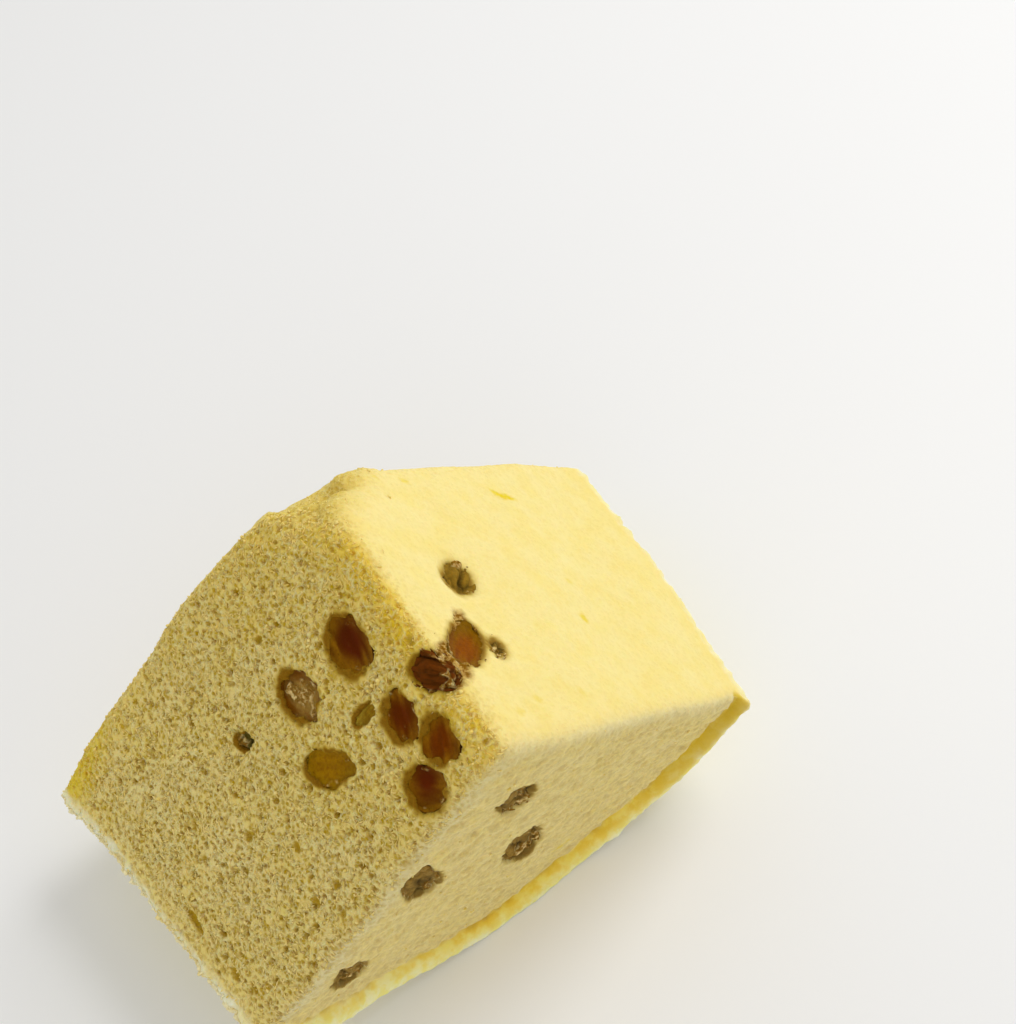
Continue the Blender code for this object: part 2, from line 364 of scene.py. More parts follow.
def arc_steps():
    """Half the rim of a quarter disc in equal turns: v = sqrt(2) sin(turn)."""
    return math.sqrt(2) * np.sin(even_steps(ARC_STEPS // 2) * math.pi / 4)


def loop_sides(bottom, right, top, left):
    """A closed walk round the unit square: position on the walk from 0 to 4, u and v."""
    walk = np.concatenate([bottom, 1 + right, 2 + top, 3 + left])
    u = np.concatenate([bottom, np.ones(len(right)), 1 - top, np.zeros(len(left))])
    v = np.concatenate([np.zeros(len(bottom)), right, np.ones(len(top)), 1 - left])
    return walk, u, v


def backwards(steps):
    """The same places on a side, walked from its other end."""
    return np.concatenate([[0.0], 1 - steps[:0:-1]])


radius_side = even_steps(RADIUS_STEPS)
height_side = even_steps(HEIGHT_STEPS)
arc_side = even_steps(ARC_STEPS)
cut_loop = loop_sides(radius_side, height_side, radius_side, height_side)
round_loop = loop_sides(radius_side, arc_steps(), backwards(arc_steps()), radius_side)
wall_loop = loop_sides(arc_side, height_side, arc_side, height_side)


# %% Grid and zip
def grid_triangles(rows, columns):
    """Two triangles for each cell, with the diagonal turned in every other cell."""
    row, column = np.meshgrid(np.arange(rows - 1), np.arange(columns - 1), indexing="ij")
    row, column = row.ravel(), column.ravel()
    a = row * columns + column
    b, c, d = a + columns, a + columns + 1, a + 1
    even = ((row + column) % 2 == 0)[:, None]
    first = np.where(even, np.stack([a, b, c], 1), np.stack([a, b, d], 1))
    second = np.where(even, np.stack([a, c, d], 1), np.stack([b, c, d], 1))
    return np.concatenate([first, second])


def zip_triangles(outer_walk, outer_ids, inner_walk, inner_ids):
    """Triangles between two closed rows whose corners lie at 0, 1, 2 and 3 on the walk."""
    outer_walk, inner_walk = np.append(outer_walk, 4.0), np.append(inner_walk, 4.0)
    outer_ids, inner_ids = np.append(outer_ids, outer_ids[0]), np.append(inner_ids, inner_ids[0])
    partner = np.searchsorted(inner_walk[1:], outer_walk[1:], side="left")
    out = np.stack([outer_ids[:-1], outer_ids[1:], inner_ids[partner]], 1)
    partner = np.searchsorted(outer_walk[1:], inner_walk[1:], side="right")
    inn = np.stack([inner_ids[1:], inner_ids[:-1], outer_ids[partner]], 1)
    return np.concatenate([out, inn])


def face_patch(place, loop, steps_u, steps_v, flip):
    """Points and triangles of one face: an inner grid, and its zip to the shared rows."""
    grid_u = np.arange(1, steps_u) / steps_u
    grid_v = np.arange(1, steps_v) / steps_v
    u, v = np.meshgrid(grid_u, grid_v, indexing="ij")
    rows, columns = u.shape
    ids = np.arange(rows * columns).reshape(rows, columns)
    inner_ids = np.concatenate([ids[:-1, 0], ids[-1, :-1], ids[:0:-1, -1], ids[0, :0:-1]])
    across, along = even_steps(rows - 1), even_steps(columns - 1)
    inner_walk = np.concatenate([across, 1 + along, 2 + across, 3 + along])
    walk, loop_u, loop_v = loop
    outer_ids = rows * columns + np.arange(len(walk))
    points = place(np.concatenate([u.ravel(), loop_u]), np.concatenate([v.ravel(), loop_v]))
    triangles = np.concatenate([
        grid_triangles(rows, columns),
        zip_triangles(walk, outer_ids, inner_walk, inner_ids),
    ])
    return points, triangles[:, ::-1] if flip else triangles


# %% Build and weld the wedge
CELL = {"left": 0.312 * MM, "right": 0.60 * MM, "narrow": 0.5 * MM, "wide": 0.86 * MM,
        "wall": 1.25 * MM}
# A quarter disc holds about as much as a square with this side, in radii.
DISC_SIDE = 0.89
ARC_LENGTH = 2 * HALF_ANGLE * WIDE_RADIUS
WELD = 1e-7


def wedge_patches():
    """The five faces with their own spacing, each as points and triangles."""
    narrow_side, wide_side = NARROW_RADIUS * DISC_SIDE, WIDE_RADIUS * DISC_SIDE
    plans = [
        ("left", cut_point(-1), cut_loop, WIDE_RADIUS, CAKE_HEIGHT, False),
        ("right", cut_point(1), cut_loop, WIDE_RADIUS, CAKE_HEIGHT, True),
        ("narrow", round_point(CAKE_HEIGHT, lip_height), round_loop, narrow_side, narrow_side, False),
        ("wide", round_point(0.0, np.zeros_like), round_loop, wide_side, wide_side, True),
        ("wall", wall_point, wall_loop, ARC_LENGTH, CAKE_HEIGHT, False),
    ]
    for name, place, loop, size_u, size_v, flip in plans:
        yield face_patch(place, loop, round(size_u / CELL[name]), round(size_v / CELL[name]), flip)


def welded_wedge():
    """All patches in one point list, in which points at the same place are one point."""
    all_points, all_triangles, count = [], [], 0
    for points, triangles in wedge_patches():
        all_points.append(points)
        all_triangles.append(triangles + count)
        count += len(points)
    points = np.concatenate(all_points)
    _, first, same = np.unique(np.round(points / WELD), axis=0, return_index=True, return_inverse=True)
    triangles = same.ravel()[np.concatenate(all_triangles)]
    has_three_corners = np.all(triangles != np.roll(triangles, 1, axis=1), axis=1)
    return points[first], triangles[has_three_corners]


def triangle_edges(triangles):
    """The three edges of every triangle, each with its lower point first."""
    pairs = [triangles[:, [a, b]] for a, b in ((0, 1), (1, 2), (2, 0))]
    return np.sort(np.concatenate(pairs), axis=1)


smooth_points, crumb_triangles = welded_wedge()
smooth_points = settle(smooth_points)
shares, outward, _, distances = face_shares(smooth_points)
outward /= np.linalg.norm(outward, axis=1, keepdims=True)
share = {name: shares[:, i] for i, name in enumerate(FACES)}
inside = {name: -distances[:, i] for i, name in enumerate(FACES)}
uses = np.unique(triangle_edges(crumb_triangles), axis=0, return_counts=True)[1]
print("crumb:", len(smooth_points), "points and", len(crumb_triangles), "triangles")
print("edges that don't join exactly two triangles:", int((uses != 2).sum()))

# %% [markdown]
# ## Noise in space
#
# Crumb isn't regular, so most of what follows needs noise: a number for each point that
# changes smoothly from place to place. Lattice noise cuts space into cubes, keeps a random
# number at each corner, and blends the eight corners round a point. The cube's size is
# the size of the lumps.

# %% Lattice noise
LATTICE = 61
# The start moves the cubes' corners off the wedge's own flat faces.
LATTICE_START = 1000.37


def noise(points, size, seed):
    """Smooth noise between -1 and 1 in lumps of one size.

    Between two corners of a cube the weight follows 3t2 - 2t3, which has no kinks.
    """
    table = np.random.default_rng(seed).uniform(-1, 1, (LATTICE, LATTICE, LATTICE))
    place = points / size + LATTICE_START
    cell = np.floor(place).astype(int)
    share_up = place - cell
    share_up = share_up * share_up * (3 - 2 * share_up)
    total = np.zeros(len(points))
    for corner in itertools.product((0, 1), repeat=3):
        index = (cell + corner) % LATTICE
        weight = np.prod(np.where(corner, share_up, 1 - share_up), axis=1)
        total += weight * table[index[:, 0], index[:, 1], index[:, 2]]
    return total


def bumps(size, seed, height=1.0):
    """Noise on the wedge's own points, in lumps of a size in millimetres, times a height."""
    return noise(smooth_points, size * MM, seed) * height


def ease(values, start, end):
    """0 before start, 1 after end, and 3t2 - 2t3 between; start may be the larger one."""
    t = np.clip((values - start) / (end - start), 0, 1)
    return t * t * (3 - 2 * t)


# %% [markdown]
# ## Gas bubbles
#
# Sponge is a foam. A knife or a hand opens the bubbles that lie at the surface, and each
# leaves a round pit. Here one bubble sits in every cube of a lattice, at a random place
# and with a random size. Where the surface passes through a bubble, the crumb drops to
# the bubble's floor.

# %% Open bubbles
def bubble_pits(points, normals, spacing, smallest, largest, seed, share_kept=1.0):
    """Depth of the deepest bubble under each point.

    With height h of the point over a bubble's centre and distance s from its normal line,
    the floor of a bubble of radius r lies h + sqrt(r2 - s2) below. The opening has the
    radius sqrt(r2 - h2). The pit fades in over its outer third, and is never deeper than
    1.4 times that radius.
    """
    table = np.random.default_rng(seed).random((LATTICE, LATTICE, LATTICE, 5))
    cell = np.floor(points / spacing).astype(int)
    deepest = np.zeros(len(points))
    for step in itertools.product((-1, 0, 1), repeat=3):
        index = cell + step
        draw = table[index[:, 0] % LATTICE, index[:, 1] % LATTICE, index[:, 2] % LATTICE]
        centre = (index + 0.1 + 0.8 * draw[:, :3]) * spacing
        radius = smallest + (largest - smallest) * draw[:, 3] ** 2
        radius = np.where(draw[:, 4] < share_kept, radius, 0.0)
        offset = points - centre
        height = np.sum(offset * normals, axis=1)
        aside = np.sum(offset * offset, axis=1) - height ** 2
        opening = radius ** 2 - height ** 2
        under = (opening > 0) & (aside < opening)
        floor_drop = height + np.sqrt(np.maximum(radius ** 2 - aside, 0))
        rim = np.sqrt(np.maximum(aside, 0) / np.maximum(opening, 1e-12))
        floor_drop = np.minimum(floor_drop, 1.4 * np.sqrt(np.maximum(opening, 0)))
        pit = np.where(under, floor_drop * np.clip((1 - rim) * 3, 0, 1), 0)
        deepest = np.maximum(deepest, pit)
    return deepest


# %% [markdown]
# ## Raisins: where they lie
#
# Every raisin is an uneven ellipsoid sunk in a face. The first five numbers of its row are
# its outline on the face: how far out and how far along it lies, its half length and half
# width, and its turn. Then come its half depth, how deep it is sunk, whether the knife cut
# it, how it looks and how much one end is narrower.

# %% Raisin table
# (out, along, half length, half width, turn, half depth, sink, was cut, look, taper).
# Lengths in millimetres. On the cuts "along" is the height, on the round faces the angle.
RAISINS = {
    "left": [
        (12.4, 29.5, 5.1, 3.8, 79, 3.4, 1.2, True, "dark", 0.05),
        (25.9, 27.8, 4.8, 3.6, 104, 3.2, 1.0, True, "crumbed", -0.10),
        (17.3, 38.9, 2.4, 1.3, 4, 1.8, 0.6, True, "olive", 0.15),
        (41.1, 24.2, 2.9, 2.0, 128, 2.2, 1.4, False, "buried", 0.10),
        (28.8, 39.7, 5.2, 2.9, 144, 2.8, 0.8, True, "amber", 0.05),
        (12.1, 43.9, 3.9, 2.9, 65, 3.0, 1.1, True, "red", 0.05),
        (8.8, 50.7, 3.7, 3.1, 54, 2.8, 0.9, True, "orange", -0.34),
        (15.8, 54.2, 3.7, 3.4, 136, 2.8, 1.1, True, "dark", 0.12),
        (2.8, 43.0, 4.2, 2.8, 130, 3.0, 1.5, False, "wrinkled", 0.10),
    ],
    "right": [
        (20.2, 27.3, 4.9, 3.2, 142, 2.9, 1.6, False, "sunken", 0.10),
        (15.6, 42.2, 2.2, 1.6, 142, 1.7, 1.0, False, "fuzzy", 0.10),
        (9.7, 40.5, 5.2, 3.0, 141, 2.7, 0.5, True, "ridge", -0.05),
    ],
    "narrow": [
        (22.6, 1.5, 5.1, 3.3, 5, 3.2, 1.4, False, "slot", 0.10),
        (47.3, 1.5, 6.2, 3.6, 2, 3.3, 1.4, False, "slot", -0.15),
        (35.5, -29.5, 5.8, 3.2, 11, 3.2, 1.4, False, "slot", 0.10),
        (59.5, -34.5, 5.6, 3.4, 6, 3.2, 1.5, False, "slot", -0.10),
    ],
    "wide": [
        (33.0, -14.0, 5.6, 4.2, 30, 3.6, 0.9, False, "umber", 0.10),
        (52.0, 17.0, 5.2, 4.0, 115, 3.4, 0.8, False, "umber", -0.10),
        (66.0, -24.0, 5.8, 3.6, 70, 3.2, 1.0, False, "wrinkled", 0.05),
        (41.0, 33.0, 4.8, 3.6, 160, 3.2, 1.1, False, "umber", 0.10),
    ],
}


def face_frame(face, out, along):
    """A place on a face with its two directions on the face and its outward normal."""
    if face in ("left", "right"):
        side = -1 if face == "left" else 1
        across = np.array([HALF_COS, side * HALF_SIN, 0])
        normal = np.array([-HALF_SIN, side * HALF_COS, 0])
        place = across * out * MM + np.array([0, 0, along * MM])
        return place, across, np.array([0, 0, 1.0]), normal
    turn = math.radians(along)
    height = CAKE_HEIGHT if face == "narrow" else 0.0
    place = np.array([math.cos(turn) * out * MM, math.sin(turn) * out * MM, height])
    normal = np.array([0, 0, 1.0 if face == "narrow" else -1.0])
    return place, np.array([1.0, 0, 0]), np.array([0, 1.0, 0]), normal


def turned_axes(face, out, along, degrees):
    """A place on a face, with a long and a wide direction turned on it, and its normal."""
    place, across, up, normal = face_frame(face, out, along)
    angle = math.radians(degrees)
    long_dir = across * math.cos(angle) + up * math.sin(angle)
    return place, long_dir, np.cross(normal, long_dir), normal


# %% [markdown]
# ### Pockets and stains
#
# Around each raisin the crumb gives way in a pocket, and sugar from the fruit has soaked
# into the crumb next to it and turned it darker. Both follow from one number: how far a
# point lies outside the raisin's outline. For an ellipse that is nearly |v| (1 - 1/q),
# where q is 1 on the outline. No raisin is an ellipse, so its outline also tapers towards
# one end and swells in a few lobes.

# %% Distance to the raisins
def outline_distance(points, face, outline, shown=1.0, taper=0.0, seed=None):
    """How far points lie outside an outline on a face; less than 0 inside.

    At the angle a round the outline, lobes make it 1 + the sum of 0.07 cos(n a + phase)
    for n = 2, 3 and 5 times as far from its middle.
    """
    out, along, long_half, wide_half, turn = outline
    long_half, wide_half = long_half * MM * shown, wide_half * MM * shown
    place, long_dir, wide_dir, _ = turned_axes(face, out, along, turn)
    ahead, aside = (points - place) @ long_dir, (points - place) @ wide_dir
    narrowing = 1 - taper * np.clip(ahead / long_half, -1.2, 1.2)
    q = np.sqrt((ahead / long_half) ** 2 + (aside / wide_half / narrowing) ** 2)
    if seed is not None:
        rng = random.Random(seed)
        angle = np.arctan2(aside / wide_half, ahead / long_half)
        q /= 1 + sum(0.07 * np.cos(n * angle + rng.uniform(0, 2 * math.pi)) for n in (2, 3, 5))
    return np.hypot(ahead, aside) * (1 - 1 / np.maximum(q, 0.05))


# %% Pockets and stains
# How a raisin sits: how much of its outline is open, how high it stands, how deep and how
# wide the crumb dips towards it, and how far its stain reaches. Lengths in millimetres.
SEATS = {
    "dark": (1.04, -0.40, 0.20, 1.2, 1.7),
    "red": (1.04, -0.40, 0.20, 1.2, 1.6),
    "orange": (1.04, -0.35, 0.20, 1.2, 1.6),
    "amber": (1.02, -0.35, 0.15, 1.0, 1.2),
    "olive": (1.00, -0.50, 0.10, 0.6, 0.9),
    "crumbed": (1.02, -0.60, 0.30, 1.2, 1.6),
    "buried": (0.95, -0.95, 0.50, 1.6, 0.5),
    "wrinkled": (1.08, -0.25, 0.35, 1.5, 1.6),
    "ridge": (1.00, -0.30, 0.30, 1.8, 1.7),
    "sunken": (0.86, -0.95, 0.90, 3.2, 2.0),
    "fuzzy": (0.95, -0.45, 0.35, 1.6, 1.9),
    "slot": (1.10, -0.85, 0.35, 1.4, 1.0),
    "umber": (1.00, -0.25, 0.45, 1.8, 1.4),
}
POCKET_DEPTH = 2.8 * MM
# The fruit's juice ran mostly down to one side of the left cut.
HALO_SHIFT = {"left": (0.35, -0.25)}
pocket, stain, brim = np.zeros((3, len(smooth_points)))
ragged = (bumps(0.9, 31, 0.42) + bumps(2.4, 32, 0.32)) * MM
outline_seed = 500
for face, raisins in RAISINS.items():
    for *outline, deep_half, sink, _, look, taper in raisins:
        outline_seed += 1
        opened, _, dip, reach, soaked = SEATS[look]
        shown = opened * math.sqrt(1 - (sink / deep_half) ** 2)
        gap = outline_distance(smooth_points, face, outline, shown, taper, outline_seed)
        on_face = ease(share[face], 0.05, 0.5)
        hollow = ease(gap + ragged, 0.05 * MM, -0.50 * MM) * POCKET_DEPTH
        slope = ease(gap + 0.5 * ragged, reach * MM, 0.0) * dip * MM
        pocket = np.maximum(pocket, np.maximum(hollow, slope) * on_face)
        more_out, more_along = HALO_SHIFT.get(face, (0.0, 0.0))
        shifted = (outline[0] + more_out, outline[1] + more_along, *outline[2:])
        halo_gap = np.minimum(outline_distance(smooth_points, face, shifted, shown), gap + 0.5 * MM)
        halo = np.clip(1 - (halo_gap + 0.9 * ragged) / (soaked * MM), 0, 1)
        stain = np.maximum(stain, halo * on_face)
        beside = ease(np.abs(gap - 0.3 * MM), 0.9 * MM, 0.0)
        brim = np.maximum(brim, beside * (1 - 0.7 * halo) * on_face)

# %% Sunk crumb at the ridge
# Where the two raisins at the ridge meet, the crumb between them is sticky and has sunk.
# (face, out, along, half length, half width, turn, depth), in millimetres and degrees.
BRUISES = [
    ("right", 3.6, 43.4, 4.6, 3.0, 150, 0.35),
    ("left", 1.2, 45.2, 2.2, 2.0, 60, 0.5),
    ("right", 11.6, 37.2, 4.0, 1.4, 128, 0.4),
    ("right", 6.4, 42.6, 2.0, 1.2, 60, 0.4),
]
BRUISE_SEED = 560
bruise = np.zeros(len(smooth_points))
for face, *outline, depth in BRUISES:
    gap = outline_distance(smooth_points, face, outline, seed=BRUISE_SEED)
    soft = ease(gap + 1.2 * ragged, 0.8 * MM, -0.6 * MM) * ease(share[face], 0.02, 0.3)
    bruise = np.maximum(bruise, soft)
    pocket = np.maximum(pocket, soft * depth * MM)

# %% [markdown]
# ### Relief of the crumb
#
# The left cut was sawn through the foam and is full of open bubbles. The right cut tore
# along its bubbles and is nearly smooth. The round faces are in between. Each face's share
# at a point sets how much of the bubbles' depth is used there.
#
# A few large bubbles on the left cut are too plain to leave to chance. They stand in a
# small table of their own: the outer ones were stretched along the wall as the cake rose.

# %% Relief
OPENNESS = {"left": 1.0, "right": 0.07, "narrow": 0.12, "wide": 0.55, "wall": 0.06, "torn": 0.45}
openness = sum(OPENNESS[name] * share[name] for name in FACES)

# (out, along, half length, half width, turn) of large bubbles, in millimetres and degrees.
LARGE_BUBBLES = [
    (72.3, 37.2, 2.7, 1.0, 86), (70.8, 48.7, 1.5, 0.8, 84), (68.8, 52.9, 1.2, 0.7, 80),
    (51.3, 35.5, 1.1, 0.9, 60), (43.8, 43.3, 1.1, 0.7, 75), (60.0, 26.8, 0.8, 0.7, 0),
    (47.0, 51.7, 1.1, 0.8, 70), (41.3, 52.5, 0.9, 0.9, 0), (43.6, 56.3, 0.9, 0.8, 20),
    (61.1, 36.1, 0.8, 0.7, 30), (55.8, 39.0, 0.8, 0.7, 0), (62.2, 31.6, 0.8, 0.7, 40),
    (26.0, 15.8, 0.9, 0.8, 0), (3.1, 37.0, 1.0, 1.0, 0), (27.8, 59.1, 1.2, 0.9, 10),
]

fine_pits = bubble_pits(smooth_points, outward, 0.95 * MM, 0.28 * MM, 0.56 * MM, 41)
middle_pits = bubble_pits(smooth_points, outward, 1.9 * MM, 0.42 * MM, 0.82 * MM, 42, 0.5)
large_pits = bubble_pits(smooth_points, outward, 5.2 * MM, 0.6 * MM, 1.0 * MM, 43, 0.30)
pits = np.maximum(np.maximum(fine_pits, middle_pits), large_pits)
# How strongly each large bubble gets its painted amber glow.
amber = 0.35 * large_pits / MM
for outline in LARGE_BUBBLES:
    half_width = outline[3] * MM
    gap = outline_distance(smooth_points, "left", outline) / half_width
    bowl = np.sqrt(np.clip(-gap, 0, 1)) * share["left"]
    pits = np.maximum(pits, 0.7 * half_width * bowl)
    amber = np.maximum(amber, ease(bowl, 0.0, 0.8))
grain = (bumps(0.55, 44, 0.08) + bumps(1.3, 45, 0.10)) * MM * (0.45 + 0.55 * openness)

# The narrow face was pulled off, which left it nappy: low streaks along the cake's chord.
nap_place = smooth_points * (1.0, 0.62, 1.0) + smooth_points[:, [1]] * (0.10, 0, 0)
nap = noise(nap_place, 0.62 * MM, 48) * 0.34 * MM + noise(nap_place, 1.9 * MM, 49) * 0.32 * MM
nap *= share["narrow"] * ease(np.minimum(inside["left"], inside["right"]), -1 * MM, 3 * MM)

# The torn corner broke off in lumps with small steps between them.
steps = 1.4 * np.tanh(bumps(4.6, 46, 5))
lumps = (steps + bumps(1.5, 47, 0.5) - 0.9) * MM * share["torn"]

# The right cut is soft and a little uneven, with shallow dimples.
dimples = (bumps(5, 33, 0.22) + bumps(1.1, 34, 0.07)) * MM * share["right"]

# %% [markdown]
# ### The skin at the curved wall
#
# The cake's outside has a thin, dense, golden skin. On the narrow face it covers the whole
# flared lip, set off by a wavy crevice where the loose crumb stops, with ochre shade painted
# into it, and the lip's end next to the right cut is painted olive as shade. On the wide
# face it shows as a thin rim, and on the cuts only a pale ragged edge is left.

# %% Skin
radius = np.hypot(smooth_points[:, 0], smooth_points[:, 1])
wobble = bumps(7, 51, 0.14) + bumps(1.3, 52, 0.09)
on_narrow = ease(share["narrow"], 0.1, 0.6)
across_lip = (radius - NARROW_RADIUS + LIP_WIDTH) / LIP_WIDTH + wobble + 0.12
lip = ease(across_lip, 0.0, 0.12) * on_narrow
# The crevice is sunk into the mesh and also painted with ochre shade.
crevice = np.exp(-((across_lip - 0.03) / 0.08) ** 2) * on_narrow
crevice *= 0.10 + 0.90 * ease(bumps(4.5, 54), -0.4, 0.5)
# The lip is a low roll, and the crumb on the other side of the crevice is its brow.
brow = np.exp(-((across_lip + 0.22) / 0.16) ** 2) * on_narrow
roll = np.sin(math.pi * np.clip(across_lip, 0, 1)) * on_narrow
thin_rim = ease(inside["wall"] + wobble * MM, 1.5 * MM, 0.9 * MM) * share["wide"]
skin = np.maximum(np.maximum(lip, thin_rim), share["wall"])
# The frill is the skin's pale ragged edge, and the rind is the closer crumb behind it.
frill = ease(inside["wall"] + wobble * 6 * MM, 3.4 * MM, 1.3 * MM) * (1 - 0.6 * share["wall"]) * (1 - lip)
lip_edge = ease(inside["wall"] + wobble * 3 * MM, 1.4 * MM, 0.5 * MM) * on_narrow
teeth = (bumps(1.3, 53) + bumps(0.7, 55, 0.5)) * MM * np.maximum(0.70 * frill, 0.34 * lip_edge)
rind = ease(inside["wall"] + wobble * 4 * MM, 8.0 * MM, 2.0 * MM) * (share["left"] + share["right"])
lip_grain = (bumps(0.8, 56, 0.16) + bumps(3.0, 57, 0.16)) * MM

# %% Crumb with its relief
openness_here = openness * (1 - 0.92 * np.maximum(lip, thin_rim)) * (1 - 0.6 * stain) * (1 - 0.75 * frill)
depth = openness_here * pits * (1 - 0.45 * rind * (1 - amber)) + pocket + 0.50 * MM * crevice
raised = grain * (1 - 0.5 * skin) * (1 - 0.6 * stain) + lumps + dimples + teeth
raised += (nap + 0.25 * MM * brow) * (1 - lip)
raised += lip * (lip_grain + 0.4 * MM * roll)
raised += brim * (0.12 + bumps(0.7, 35, 0.30)) * MM
crumb_points = smooth_points + outward * (raised - depth)[:, None]

# The cake sagged before it was cut: the wide face bulges next to the left cut, the outer
# corner there is drawn out, and the far end of the lip is pinched.
# Each shift is a size times eased distances: to the wide face, to a cut and to the axis.
BULGE = 2.3 * MM
DRAWN_OUT = 2.4 * MM
PINCH = 2.6 * MM
height = smooth_points[:, 2]
bulge = BULGE * (1 - 0.6 * ease(radius, 64 * MM, 82 * MM)) * ease(radius, 18 * MM, 42 * MM)
bulge *= ease(height, 15 * MM, 0.0) * ease(inside["left"], 16 * MM, 2 * MM)
drawn = DRAWN_OUT * ease(height, 18 * MM, 0.0) * ease(inside["left"], 14 * MM, 0.0)
drawn *= ease(radius, 60 * MM, 80 * MM)
pinch = PINCH * ease(height, 34 * MM, 58 * MM) * ease(inside["right"], 14 * MM, 0.0)
pinch *= ease(radius, 50 * MM, 74 * MM)
crumb_points[:, 2] -= bulge
crumb_points[:, :2] *= (1 + (drawn - pinch) / np.maximum(radius, MM))[:, None]

# %% [markdown]
# ### Folds
#
# Where a pit or a step meets a sharp edge, the small triangles there can fold over, which
# shows as a thin dark line. Only the points of such folds are moved, a little at a time,
# towards the mean of their neighbours. Pits in the middle of a face keep their steep sides.

# %% Relax folds
RELAX_ROUNDS = 14
RELAX_STEP = 0.6


def neighbour_mean(values, edges):
    """The mean of the values at the far ends of every point's edges."""
    ends, far = edges.ravel(), edges[:, ::-1].ravel()
    return np.bincount(ends, values[far]) / np.bincount(ends)


def relax_folds(points, triangles, weight):
    """Move the points of triangles that face away from each other to their neighbours' mean.

    Sorted, the edge list holds every edge twice, and with it the two triangles beside it.
    They are folded where the product of their normals is less than 0.
    """
    edges = triangle_edges(triangles)
    order = np.lexsort((edges[:, 1], edges[:, 0]))
    owner = np.tile(np.arange(len(triangles)), 3)[order]
    edges, one, other = edges[order][::2], owner[::2], owner[1::2]
    for _ in range(RELAX_ROUNDS):
        a, b, c = points[triangles[:, 0]], points[triangles[:, 1]], points[triangles[:, 2]]
        normals = np.cross(b - a, c - a)
        folded = np.sum(normals[one] * normals[other], axis=1) < 0.0
        near = np.zeros(len(points))
        near[triangles[np.concatenate([one[folded], other[folded]])]] = 1.0
        near = np.maximum(near, neighbour_mean(near, edges))
        mean = np.stack([neighbour_mean(points[:, axis], edges) for axis in range(3)], 1)
        points = points + (RELAX_STEP * near * weight)[:, None] * (mean - points)
    return points, int(folded.sum())


beside_edge = ease(shares.max(axis=1), 1.0, 0.97)
crumb_points, folds_left = relax_folds(crumb_points, crumb_triangles, beside_edge)
crumb_world = to_world(crumb_points)
crumb_world[:, 2] = np.maximum(crumb_world[:, 2], 0.0)
print("deepest pit: %.2f mm" % (pits.max() / MM), "folds left:", folds_left)

# %% [markdown]
# ## Pieces
#
# Every piece is a mesh that is made in one go from arrays: where its points are, which
# three of them make each triangle, and its marks, which give every point a number or a
# colour. All pieces ride on the one body, and most take the place of a plain solid.

# %% Mesh helper
def mesh_piece(name, points, triangles, marks, finish, nodes):
    """Make a smooth-shaded piece from arrays, with a number or a colour per point and mark."""
    mesh = bpy.data.meshes.new(name)
    mesh.from_pydata(points, [], triangles)
    for mark, values in marks.items():
        kind = "FLOAT_COLOR" if values.ndim == 2 else "FLOAT"
        field = "color" if values.ndim == 2 else "value"
        attribute = mesh.attributes.new(mark, kind, "POINT")
        attribute.data.foreach_set(field, values.astype(np.float32).ravel())
    mesh.shade_smooth()
    mesh.update()
    mesh.materials.append(finish)
    piece = placed(name, mesh)
    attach(piece, "root")
    if nodes:
        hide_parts(*nodes)


# %% [markdown]
# ## Finish helpers
#
# A finish is a small graph of nodes. These helpers add one node each and return what it
# puts out, so that a finish below reads like a recipe.

# %% Screen colours
def linear(red, green, blue):
    """A screen colour from 0 to 255 as the linear values that shaders mix."""
    values = np.array([red, green, blue]) / 255
    values = np.where(values <= 0.04045, values / 12.92, ((values + 0.055) / 1.055) ** 2.4)
    return (*values.tolist(), 1.0)


